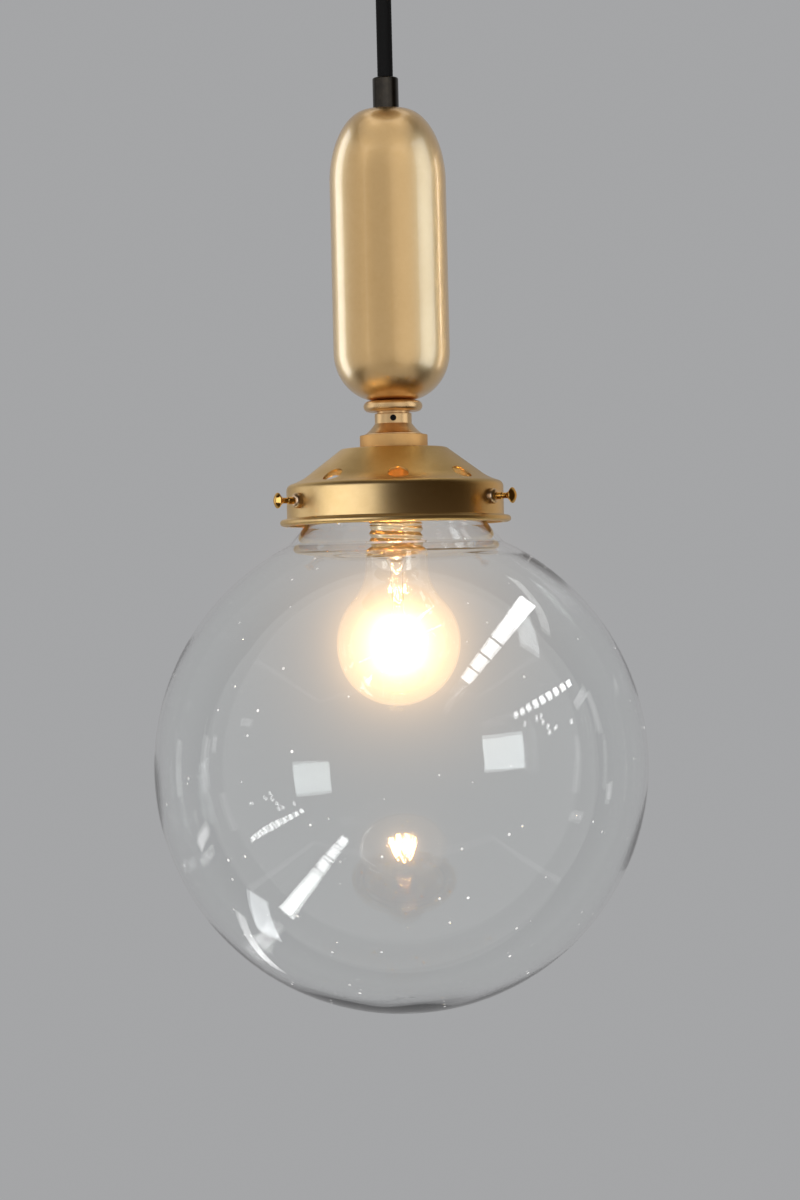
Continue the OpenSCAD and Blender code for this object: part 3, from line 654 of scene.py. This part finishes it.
def grip(name, node, mouth_up):
    """Cord grip: cylinder with a rounded mouth, bored for the cord and for the hollow tube."""
    height = top(node) - low(node)
    r, mouth_r, mouth_h = outer(node), 4.5, 3.6
    profile = [(mouth_r, 0), (r, 0), (r, -height), (HOLE_R, -height), (HOLE_R, -mouth_h), (mouth_r, -mouth_h)]
    profile = fillet(profile, {0: 0.35, 1: 0.8, 2: 0.3}, 8)
    z = top(node) if mouth_up else low(node)
    sign = 1 if mouth_up else -1
    piece = lathe(name, [(a, z + sign * b) for a, b in profile], 96)
    return cut(piece, [rod(1.5, mouth_r - 1, 8, radial(90, z - sign * 6))])


piece_for(grip("capsule_cord_grip", "cord_grip", True), "pendant", BLACK_BRONZE, "cord_grip")
piece_for(grip("rose_cord_grip", "rose_grip", False), "ceiling_fitting", BLACK_BRONZE, "rose_grip")


def rose():
    """Spun cup with a rounded lower edge, a hole for the nipple and two for the side screws."""
    r, wall = outer("ceiling_rose"), 1.0
    profile = [(HOLE_R, Z_ROSE), (r, Z_ROSE), (r, 0), (r - wall, 0), (r - wall, Z_ROSE + wall),
               (HOLE_R, Z_ROSE + wall)]
    piece = lathe("rose", fillet(profile, {1: 6, 2: 0.3, 4: 5}, 20), 192)
    return cut(piece, [rod(2.2, 45, 55, radial(turn, -7)) for turn in (0, 180)])


piece_for(rose(), "ceiling_fitting", CAPSULE_BRASS, "ceiling_rose")

# ------------------------------------------------------------------ globe

GLASS_T = 2.2
FLOOR_GLASS = 1.3
GLOBE_NECK_R = 44.3
NECK_BLEND = 5.0
CREASE_R = 52.0
CREASE_BLEND = 3.0
FLARE = 40.0
LIP_R = 2.25
LIP_X = 46.6


def globe_side(inset, z_top):
    """Outline up the globe: sphere, crease, short flare and neck, each corner a concave arc."""
    flare = math.radians(FLARE)
    out, down = Vector((math.cos(flare), math.sin(flare))), Vector((math.sin(flare), -math.cos(flare)))
    crease = Vector((CREASE_R, math.sqrt(GLOBE_R ** 2 - CREASE_R ** 2)))
    neck_x = GLOBE_NECK_R + NECK_BLEND
    neck = (neck_x, Z_GLOBE + crease.y + (NECK_BLEND - out.x * (neck_x - CREASE_R)) / out.y)
    start = crease + CREASE_BLEND * out
    along = start.dot(down)
    start -= (along + math.sqrt(along ** 2 - start.length_squared + (GLOBE_R + CREASE_BLEND) ** 2)) * down
    touch = math.degrees(math.atan2(start.y, start.x))
    side = arc((0, Z_GLOBE), GLOBE_R - inset, -90, touch, 150)
    side[0] = (0, side[0][1])
    side += arc((start.x, Z_GLOBE + start.y), CREASE_BLEND + inset, touch + 180, 180 + FLARE, 10)[1:]
    side += arc(neck, NECK_BLEND + inset, 180 + FLARE, 180, 16)
    return side + [(GLOBE_NECK_R - inset, neck[1] + (z_top - neck[1]) * i / 6) for i in range(1, 7)]


def globe():
    z_lip = Z_LIP_TOP - 2 * LIP_R
    outside = globe_side(0, z_lip)
    lip = arc((LIP_X, z_lip + LIP_R), LIP_R, -90, 90, 20)
    inside = globe_side(GLASS_T, Z_LIP_TOP - 0.6)
    rim = arc((GLOBE_NECK_R - GLASS_T + 0.6, Z_LIP_TOP - 0.6), 0.6, 180, 90, 5)

    def blown(r, turn, z):
        """Blown glass: the inner wall wanders a little, and the glass is thicker at the bottom."""
        depth = max(0.0, (Z_GLOBE - z) / GLOBE_R)
        inner = math.hypot(r, z - Z_GLOBE) < GLOBE_R - GLASS_T / 2 and z < Z_GLOBE + 100
        if inner:
            wander = 0.10 * math.sin(2 * turn + 0.05 * z) + 0.07 * math.sin(5 * turn - 0.09 * z + 1)
            thin = 1 - (wander + FLOOR_GLASS * depth ** 6) / GLOBE_R
            r, z = r * thin, Z_GLOBE + (z - Z_GLOBE) * thin
        return r * math.cos(turn), r * math.sin(turn), z

    return lathe("clear_globe", outside + lip + rim[::-1] + inside[::-1], 224, False, blown, 60)


GLOBE_GLASS = clear_glass("globe_glass", (0.990, 0.997, 0.993), 1.5, 9.0, 0.00004, 0.6)[0]
piece_for(globe(), "globe", GLOBE_GLASS, "globe")

# ------------------------------------------------------------------ lamp

BULB_NECK_R = 15.3
BULB_NECK_RISE = 37.5
BULB_T = 0.8
BULB_PAINTED_GLOW = 0.09
BULB_BLEND = (BULB_NECK_R ** 2 + BULB_NECK_RISE ** 2 - BULB_R ** 2) / (2 * (BULB_R - BULB_NECK_R))


def bulb_side(inset):
    """Outline up the bulb from its lowest point, round a concave blend and up the straight neck."""
    blend = (BULB_NECK_R + BULB_BLEND, Z_BULB + BULB_NECK_RISE)
    reach = Vector(blend) - Vector((0, Z_BULB))
    touch = math.degrees(math.atan2(reach.y, reach.x))
    side = arc((0, Z_BULB), BULB_R - inset, -90, touch, 90)
    side[0] = (0, side[0][1])
    side += arc(blend, BULB_BLEND + inset, touch + 180, 180, 20)[1:]
    neck = top("lamp_glass") - blend[1]
    return side + [(BULB_NECK_R - inset, blend[1] + neck * i / 8) for i in range(1, 9)]


def bulb():
    return lathe("bulb", bulb_side(0) + bulb_side(BULB_T)[::-1], 160, False, None, 60)


def bulb_glass():
    """Thin lamp glass with a painted warm glow, standing in for its filament's light in the glass: strongest
    round the cage.
    """
    material, tree, shader = clear_glass("bulb_glass", (0.995, 0.99, 0.98), 1.45, 30.0, 0.00004)
    xyz = add(tree, "ShaderNodeSeparateXYZ", {0: add(tree, "ShaderNodeTexCoord").outputs["Object"]})
    glow = spread(tree, xyz.outputs[2], (Z_BULB + 50) * MM, (Z_BULB - 4) * MM, 0.0, 1.0)
    # Painted glow: the glass's own emission, stronger towards the bottom, stands in for the filament's light
    # in it.
    tree.links.new(maths(tree, "MULTIPLY", maths(tree, "POWER", glow, 1.2), BULB_PAINTED_GLOW),
                   shader.inputs["Emission Strength"])
    shader.inputs["Emission Color"].default_value = (1.0, 0.60, 0.26, 1)
    return material


piece_for(bulb(), "lamp", bulb_glass(), "lamp_glass")

CAP_PITCH = 3.62
CAP_MAJOR, CAP_MINOR = 13.15, 12.15


def lamp_cap():
    """Screw cap with a rolled thread that really winds round it, and a flared foot."""
    foot, start, crown = outer("lamp_cap"), Z_FLARE + 2.6, top("lamp_cap")
    turns = 4.0
    steps = 120
    end = start + turns * CAP_PITCH
    profile = [(CAP_MINOR - 0.5, Z_FLARE), (foot - 0.2, Z_FLARE), (foot, Z_FLARE + 0.2),
               (foot, Z_FLARE + 0.5), (CAP_MAJOR, start - 0.6)]
    profile += [(CAP_MAJOR, start + (end - start) * i / steps) for i in range(steps + 1)]
    profile += [(CAP_MINOR, crown - 1), (CAP_MINOR - 1, crown), (9.2, crown), (9.2, crown - 0.5),
                (CAP_MINOR - 0.5, crown - 1.5)]

    def thread(r, turn, z):
        if start - 0.01 < z < end + 0.01 and r > CAP_MAJOR - 0.01:
            wave = 0.5 - 0.5 * math.cos(2 * math.pi * (z - start) / CAP_PITCH + turn)
            r -= (CAP_MAJOR - CAP_MINOR) * wave
        return r * math.cos(turn), r * math.sin(turn), z

    return lathe("screw_cap", profile, 128, True, thread, 45)


CAP_METAL = satin_metal("cap_metal", (0.86, 0.74, 0.52), (0.72, 0.60, 0.40), 0.22)
piece_for(lamp_cap(), "lamp", CAP_METAL, "lamp_cap")


def stem():
    """Glass stem: flare sealed to the neck, tube, flattened pinch, and a rod with a button."""
    z = Z_FLARE - 0.2
    profile = [(0, z - 54), (1.2, z - 53.9), (1.75, z - 53.4), (1.9, z - 53), (1.6, z - 52), (0.8, z - 51.4)]
    profile += [(0.8, z - 51.4 + 25.4 * i / 20) for i in range(1, 21)]
    profile += [(2.0, z - 25.2), (2.8, z - 24), (3.0, z - 18), (3, z - 12), (3.1, z - 10), (3.4, z - 8),
                (4.1, z - 6), (5.4, z - 4.4), (7.4, z - 3.5), (9.6, z - 3), (9.6, z - 2), (6.5, z - 2.6),
                (4.6, z - 3), (3.2, z - 5.2), (2.2, z - 8), (1.2, z - 10.4), (0, z - 12)]

    def pinch(r, turn, h):
        flat = math.exp(-((h - (z - 19)) / 5.0) ** 2) if h < z - 9 and r > 0.9 else 0
        return r * math.cos(turn), r * math.sin(turn) * (1 - 0.5 * flat), h

    return lathe("stem", profile, 64, False, pinch, 50)


STEM_GLASS = clear_glass("stem_glass", (0.98, 0.99, 0.985), 1.5, 300.0, 0.00004)[0]
piece_for(stem(), "lamp", STEM_GLASS, "lamp_stem")

CAGE_RUNS = 16
CAGE_TOP, CAGE_LOW = (6.0, 12.0), (9.0, -13.0)


def cage_point(i):
    angle = 2 * math.pi * i / CAGE_RUNS
    r, z = CAGE_LOW if i % 2 else CAGE_TOP
    return Vector((r * math.cos(angle), r * math.sin(angle), Z_BULB + z))


def cage():
    """Filament hung in a zigzag between two rings of hooks, rounded where it passes over each."""
    route = []
    for i in range(CAGE_RUNS):
        a, b = cage_point(i), cage_point((i + 1) % CAGE_RUNS)
        inwards = -Vector((*((a + b) / 2).xy, 0)).normalized()
        for k in range(8):
            t = (k + 0.5) / 8
            route.append(a.lerp(b, 0.03 + 0.94 * t) + inwards * 0.5 * math.sin(math.pi * t))
    return tube("filament_cage", route, 0.24, 8, True)


def hook(i):
    """Fine hook from the glass rod out to the filament, with a small eye round it."""
    p = cage_point(i)
    out = Vector((*p.xy, 0)).normalized()
    up = Vector((0, 0, 1 if i % 2 == 0 else -1))
    reach = Vector((*p.xy, 0)).length
    axis = Vector((0, 0, p.z))
    route = [axis + out * reach * t + up * 0.9 * (t * t - t) for t in (0.1, 0.3, 0.5, 0.7, 0.85)]
    eye = axis + out * (reach - 0.15)
    route += [eye + 0.45 * (math.cos(a) * out + math.sin(a) * up)
              for a in (math.radians(180 - 60 * k) for k in range(6))]
    return tube("hook", route, 0.11, 6)


def lead(side):
    stem_end = Z_FLARE - 24
    route = [Vector(p) for p in ((side * 1.6, 0, stem_end + 4), (side * 1.9, 0, stem_end),
                                 (side * 2.6, 0, stem_end - 5), (side * 4.2, 0, stem_end - 11))]
    route.append(cage_point(0 if side > 0 else CAGE_RUNS // 2) + Vector((0, 0, 0.5)))
    smooth = []
    for a, b in zip(route, route[1:]):
        smooth += [a.lerp(b, t) for t in (0.0, 0.25, 0.5, 0.75)]
    return tube("lead", smooth + [route[-1]], 0.28, 8)


def glowing_wire():
    material, tree, shader = new_material("glowing_filament")
    coils = noise(tree, place(tree), 1500.0, 2.0)
    shader.inputs["Base Color"].default_value = (0.3, 0.12, 0.04, 1)
    shader.inputs["Roughness"].default_value = 0.6
    shader.inputs["Emission Color"].default_value = (1.0, 0.60, 0.24, 1)
    tree.links.new(spread(tree, coils, 0.3, 0.7, 170.0, 230.0), shader.inputs["Emission Strength"])
    return material


WIRE_METAL = satin_metal("hook_wire", (0.62, 0.58, 0.52), (0.50, 0.46, 0.42), 0.3)
piece_for(cage(), "lamp", glowing_wire(), "filament")
piece_for(join("filament_hooks", [hook(i) for i in range(2, CAGE_RUNS - 1)]), "lamp", WIRE_METAL,
          "filament_supports")
piece_for(join("leads", [lead(side) for side in (1, -1)]), "lamp", WIRE_METAL, "lead_wires")

# ------------------------------------------------------------------ CAD nodes that keep their mesh

STEEL = satin_metal("zinc_steel", (0.60, 0.61, 0.62), (0.48, 0.49, 0.50), 0.34)
SCREW_BRASS = satin_metal("screw_brass", (0.84, 0.56, 0.22), (0.70, 0.44, 0.15), 0.26)
CONTACT_BRASS = satin_metal("contact_brass", (0.80, 0.62, 0.34), (0.66, 0.50, 0.26), 0.30)
BLACK_STEEL = satin_metal("black_steel", (0.02, 0.02, 0.022), (0.04, 0.04, 0.042), 0.4)
SOLDER = satin_metal("solder", (0.56, 0.56, 0.57), (0.44, 0.44, 0.46), 0.42)
PORCELAIN = moulded("porcelain", (0.80, 0.79, 0.75), (0.74, 0.73, 0.69), 0.22, 0.4)
WHITE_PLASTIC = moulded("white_plastic", (0.78, 0.78, 0.76), (0.72, 0.72, 0.70), 0.42)
NYLON = moulded("nylon", (0.72, 0.70, 0.64), (0.66, 0.64, 0.58), 0.5)
BLACK_GLASS = moulded("black_glass", (0.012, 0.008, 0.022), (0.02, 0.014, 0.034), 0.12, 0.6)
CORE_BROWN = moulded("core_brown", (0.16, 0.055, 0.02), (0.13, 0.045, 0.016), 0.45)
CORE_BLUE = moulded("core_blue", (0.02, 0.09, 0.42), (0.016, 0.075, 0.36), 0.45)


def earth_insulation():
    """Green insulation with one yellow stripe on each side."""
    material, tree, shader = new_material("core_green_yellow")
    turn, z = around(tree)
    wave = maths(tree, "SINE", maths(tree, "MULTIPLY", z, 900.0))
    stripe = maths(tree, "GREATER_THAN", maths(tree, "ADD", wave, noise(tree, place(tree), 300.0)), 0.5)
    tree.links.new(two_colours(tree, stripe, (0.04, 0.26, 0.05), (0.72, 0.60, 0.03)),
                   shader.inputs["Base Color"])
    grain = noise(tree, place(tree), 900.0, 2.0)
    tree.links.new(spread(tree, grain, 0.3, 0.7, 0.38, 0.5), shader.inputs["Roughness"])
    bump(tree, shader, grain, 0.2, 0.00004)
    return material


CORE_EARTH = earth_insulation()
FINISHES = {
    STEEL: ("ceiling_bracket", "rose_nipple", "rose_nut", "threaded_tube", "tube_nut", "lock_washer",
            "terminal_screws", "block_screws", "holder_screws"),
    SCREW_BRASS: ("rose_screws", "earth_screw"),
    CONTACT_BRASS: ("screw_shell", "centre_contact", "holder_terminals", "earth_terminal"),
    GALLERY_BRASS: ("shade_ring",),
    BLACK_STEEL: ("grub_screw", "cord_grip_screw", "rose_grip_screw"),
    SOLDER: ("cap_contact",),
    PORCELAIN: ("contact_block",),
    WHITE_PLASTIC: ("terminal_block",),
    NYLON: ("cord_bush", "rose_bush"),
    BLACK_GLASS: ("cap_insulator",),
    CORE_BROWN: ("feed_live", "core_live"),
    CORE_BLUE: ("feed_neutral", "core_neutral"),
    CORE_EARTH: ("feed_earth", "core_earth"),
}
for finish, names in FINISHES.items():
    for name in names:
        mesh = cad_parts[name].data
        mesh.materials.clear()
        mesh.materials.append(finish)

# ------------------------------------------------------------------ lights, backdrop and floor

scene = bpy.context.scene
HEART = Vector((0, 0, (top("capsule_shell") + low("globe")) / 2 * MM))


def softbox(name, centre, target, width, height, radiance, colour=(1, 1, 1), only=(), without=(),
            upright=(0, 0, 1)):
    """Rectangular light that faces its target, its height near upright. only names the pieces that
    it lights; or it lights all but the pieces in without."""
    data = bpy.data.lights.new(name, "AREA")
    data.shape = "RECTANGLE"
    data.size, data.size_y = width, height
    data.energy = radiance * math.pi * width * height
    data.color = colour
    back = (Vector(centre) - Vector(target)).normalized()
    across = Vector(upright).cross(back).normalized()
    turn = Matrix((across, back.cross(across), back)).transposed().to_4x4()
    lamp = bpy.data.objects.new(name, data)
    lamp.matrix_world = Matrix.Translation(centre) @ turn
    scene.collection.objects.link(lamp)
    if only or without:
        group = bpy.data.collections.new(name + "_lights")
        for piece in only or without:
            group.objects.link(bpy.data.objects[piece])
        lamp.light_linking.receiver_collection = group
        for member in group.collection_objects:
            member.light_linking.link_state = "INCLUDE" if only else "EXCLUDE"
    return lamp


def panel(name, heart, azimuth, rise, distance, width, height, radiance, **settings):
    """Softbox round a point: azimuth in degrees from the front towards the right, rise above level."""
    a, e = math.radians(azimuth), math.radians(rise)
    reach = distance * Vector((math.sin(a) * math.cos(e), -math.cos(a) * math.cos(e), math.sin(e)))
    return softbox(name, heart + reach, heart, width, height, radiance, **settings)


GLOBE_HEART = Vector((0, 0, Z_GLOBE * MM))
CAPSULE_HEART = Vector((0, 0, (Z_CAPSULE + Z_BEAD) / 2 * MM))
GALLERY_HEART = Vector((0, 0, (Z_GALLERY + Z_RIM) / 2 * MM))
GLASS = ("clear_globe", "bulb", "stem")
UPPER = ("capsule", "ring", "lampholder_cap", "lampholder_skirt")
DARK = ("capsule_cord_grip", "rose_cord_grip", "braided_cord")
GALLERY = ("spun_gallery", "screw_boss", "thumb_screw_1", "thumb_screw_2", "thumb_screw_3")
COOL = (0.66, 0.84, 1.2)


def window(name, centre, width, height, radiance, only=GLASS, **settings):
    """Softbox placed from the middle of the globe and turned to face it."""
    return softbox(name, GLOBE_HEART + Vector(centre), GLOBE_HEART, width, height, radiance,
                   only=only, **settings)


# Strip of ceiling windows that runs front to back on the right, and a row of small ones lower down
for k, (near, far) in enumerate(((-1.42, -1.13), (-1.09, -0.79), (-0.75, -0.46), (-0.42, 0.65))):
    middle = (near + far) / 2
    softbox(f"strip_{k}", GLOBE_HEART + Vector((1.09 + 0.044 * middle, middle, 1.34)),
            GLOBE_HEART + Vector((0, middle, 0)), 0.15, far - near, 9.0, upright=(0.044, 1, 0),
            without=UPPER + DARK + GALLERY)
for k in range(9):
    middle = -1.20 + 0.165 * k
    softbox(f"row_{k}", GLOBE_HEART + Vector((1.80, middle, 0.83)), GLOBE_HEART + Vector((0, middle, 0)),
            0.065 + 0.03 * math.sin(math.pi * k / 8), 0.105, 9.0, upright=(0, 1, 0), only=GLASS)
for k, (along, level) in enumerate(((-0.78, 0.64), (-0.68, 0.64), (-0.68, 0.56), (-0.60, 0.48),
                                    (-0.60, 0.40), (-0.46, 0.43), (-0.13, 0.43), (-1.06, 0.64))):
    window(f"dot_{k}", (1.80, along, level), 0.05, 0.05, 6.0)
window("square", (1.49, -1.40, 0.25), 0.71, 0.51, 4.4, colour=(0.93, 1.0, 1.0))
window("left_gap", (-1.94, 0.36, 0.03), 0.13, 0.60, 0.75)
window("left_slit", (-1.63, 1.06, -0.04), 0.10, 0.42, 0.55)
window("left_glint", (-1.73, 0.65, -0.63), 0.10, 0.42, 1.6, upright=(0.2, 0.46, -0.1))
window("right_gap", (1.86, 0.45, 0.44), 0.13, 0.42, 0.7)
window("right_slit", (1.84, 0.64, -0.30), 0.12, 0.16, 1.0)
window("right_blob", (1.89, -0.05, -0.58), 0.26, 0.10, 0.9)
window("low_patch", (-1.12, 0.37, -1.17), 0.24, 0.56, 2.6, upright=(0.32, 0.45, -0.13),
       colour=(0.96, 1.0, 1.02))
window("low_streak", (-0.85, 0.95, -1.00), 0.10, 0.75, 1.3, upright=(0.575, 0.475, 0.081))
# The room in front of the globe, as plain walls
for name, centre, width, height, radiance in (
        ("room_front", (0, -3.2, 0), 6.4, 5.2, 0.30), ("room_left", (-3.2, -1.3, 0), 3.8, 5.2, 0.31),
        ("room_right", (3.2, -1.3, 0), 3.8, 5.2, 0.30), ("room_top", (0, -1.3, 2.6), 6.4, 3.8, 0.31),
        ("room_floor", (0, -1.3, -2.4), 6.4, 3.8, 0.29)):
    level = GLOBE_HEART + Vector((0, centre[1] if abs(centre[1]) < 2 else 0, 0))
    softbox(name, GLOBE_HEART + Vector(centre), level, width, height, radiance, only=GLASS,
            upright=(0, 1, 0) if centre[2] else (0, 0, 1))

# Capsule and the turned pieces under it: even light from the front, brighter from both sides
for k, (azimuth, radiance) in enumerate(((-70, 0.52), (-23, 0.47), (30, 0.70))):
    panel(f"front_{k}", CAPSULE_HEART, azimuth, 4, 2.4, 2.3, 3.2, radiance, only=UPPER + DARK)
panel("above", CAPSULE_HEART, -8, 66, 2.4, 4.6, 2.9, 0.55, only=UPPER)
panel("below", CAPSULE_HEART, -8, -62, 2.4, 4.6, 2.7, 0.40, only=UPPER)
panel("right_side", CAPSULE_HEART, 78, 5, 2.2, 1.5, 2.8, 1.65, colour=COOL, only=("capsule",))
panel("left_side", CAPSULE_HEART, -114, 5, 2.2, 0.95, 2.8, 2.2, colour=COOL, only=("capsule",))
panel("right_fitting", CAPSULE_HEART, 80, 5, 2.2, 1.5, 2.8, 1.0, only=UPPER[1:])
panel("left_fitting", CAPSULE_HEART, -100, 5, 2.2, 1.2, 2.8, 0.65, only=UPPER[1:])
panel("right_line", CAPSULE_HEART, 116, 0, 2.2, 0.07, 1.5, 9.0, only=("capsule",))

# Gallery: one broad light from the left, the ceiling above it, and a dim warm room on the right
for k, (azimuth, width, radiance) in enumerate(((-106, 1.1, 0.60), (-66, 1.2, 1.75), (-33, 0.95, 1.40))):
    panel(f"gallery_key_{k}", GALLERY_HEART, azimuth, 4, 1.8, width, 1.5, radiance,
          colour=(0.92, 1.02, 1.4), only=GALLERY)
softbox("gallery_streak", GALLERY_HEART + Vector((0.37, 0.61, 1.65)), GALLERY_HEART, 0.14, 0.9, 1.0,
        only=GALLERY, upright=(0.2, 1, 0))
panel("gallery_back", GALLERY_HEART, -160, 30, 1.8, 1.4, 1.0, 0.20, only=GALLERY)
panel("gallery_top", GALLERY_HEART, 0, 88, 1.8, 1.0, 1.2, 0.18, only=GALLERY)
panel("gallery_warm", GALLERY_HEART, 122, 4, 1.8, 1.9, 1.5, 0.15, colour=(1.0, 0.62, 0.30), only=GALLERY)

# The lit filament's glow on the thread of the lamp's cap
panel("cap_glow", Vector((0, 0, (top("lamp_cap") + Z_FLARE) / 2 * MM)), -6, -28, 0.6, 0.30, 0.30, 9.0,
      colour=(1.0, 0.68, 0.32), only=("screw_cap",))

softbox("front_fill", (-0.3, -3.4, 0.3), HEART, 3.2, 3.2, 0.42, without=GLASS + UPPER + GALLERY)
softbox("top_fill", (0, 0.3, 2.4), HEART, 2.5, 2.5, 0.7, without=GLASS + GALLERY)

# The shade of the gallery's rim is left dark by the lamp under it
shaded = bpy.data.collections.new("filament_lights")
for piece in GALLERY:
    shaded.objects.link(bpy.data.objects[piece])
bpy.data.objects["filament_cage"].light_linking.receiver_collection = shaded
for member in shaded.collection_objects:
    member.light_linking.link_state = "EXCLUDE"

# The backdrop is pale and even; what the metal mirrors is dim in front and pale behind the light
BACKDROP = (0.375, 0.378, 0.385)
DIM_ROOM = (0.030, 0.020, 0.010)
PALE_WALL = (0.36, 0.36, 0.365)
world = bpy.data.worlds.new("studio")
scene.world = world
world.use_nodes = True
tree = world.node_tree
path = add(tree, "ShaderNodeLightPath")
seen = maths(tree, "MAXIMUM", path.outputs["Is Camera Ray"], path.outputs["Is Transmission Ray"])
direction = add(tree, "ShaderNodeSeparateXYZ", {0: add(tree, "ShaderNodeTexCoord").outputs["Generated"]})
behind = spread(tree, direction.outputs[1], 0.05, 0.45, 0.0, 1.0)
room = two_colours(tree, behind, DIM_ROOM, PALE_WALL)
backdrop = add(tree, "ShaderNodeMix", {0: seen, 6: room, 7: (*BACKDROP, 1)}, data_type="RGBA")
tree.links.new(backdrop.outputs[2], tree.nodes["Background"].inputs["Color"])

# Pale floor at the backdrop's own level, so that no edge shows between the two
FLOOR_Z = -3.0
FLOOR_HALF = 40
floor_mesh = bpy.data.meshes.new("floor")
corners = [(x * FLOOR_HALF, y * FLOOR_HALF, FLOOR_Z) for x, y in ((-1, -1), (1, -1), (1, 1), (-1, 1))]
floor_mesh.from_pydata(corners, [], [(0, 1, 2, 3)])
floor = bpy.data.objects.new("floor", floor_mesh)
scene.collection.objects.link(floor)
floor_material, tree, shader = new_material("pale_floor")
shader.inputs["Base Color"].default_value = (0, 0, 0, 1)
shader.inputs["Specular IOR Level"].default_value = 0
shader.inputs["Emission Color"].default_value = (*BACKDROP, 1)
shader.inputs["Emission Strength"].default_value = 1
floor_material.cycles.emission_sampling = "NONE"
floor_mesh.materials.append(floor_material)
floor.visible_glossy = False
floor.visible_diffuse = False

# The lit filament blooms in the lens
scene.use_nodes = True
lens = scene.node_tree
lens.nodes.clear()
picture = add(lens, "CompositorNodeRLayers")
bloom = add(lens, "CompositorNodeGlare", {"Image": picture.outputs["Image"], "Threshold": 2.0,
                                          "Strength": 1.05, "Size": 0.22}, glare_type="BLOOM")
add(lens, "CompositorNodeComposite", {"Image": bloom.outputs["Image"]})

# Enough bounces for both walls of the globe and of the bulb, and the filament unclamped behind them
BOUNCES = 24
scene.cycles.sample_clamp_indirect = 0
scene.view_settings.view_transform = "Standard"
scene.cycles.max_bounces = BOUNCES
scene.cycles.transmission_bounces = BOUNCES
scene.cycles.transparent_max_bounces = BOUNCES
scene.cycles.glossy_bounces = 8
scene.cycles.caustics_reflective = False
scene.cycles.caustics_refractive = False
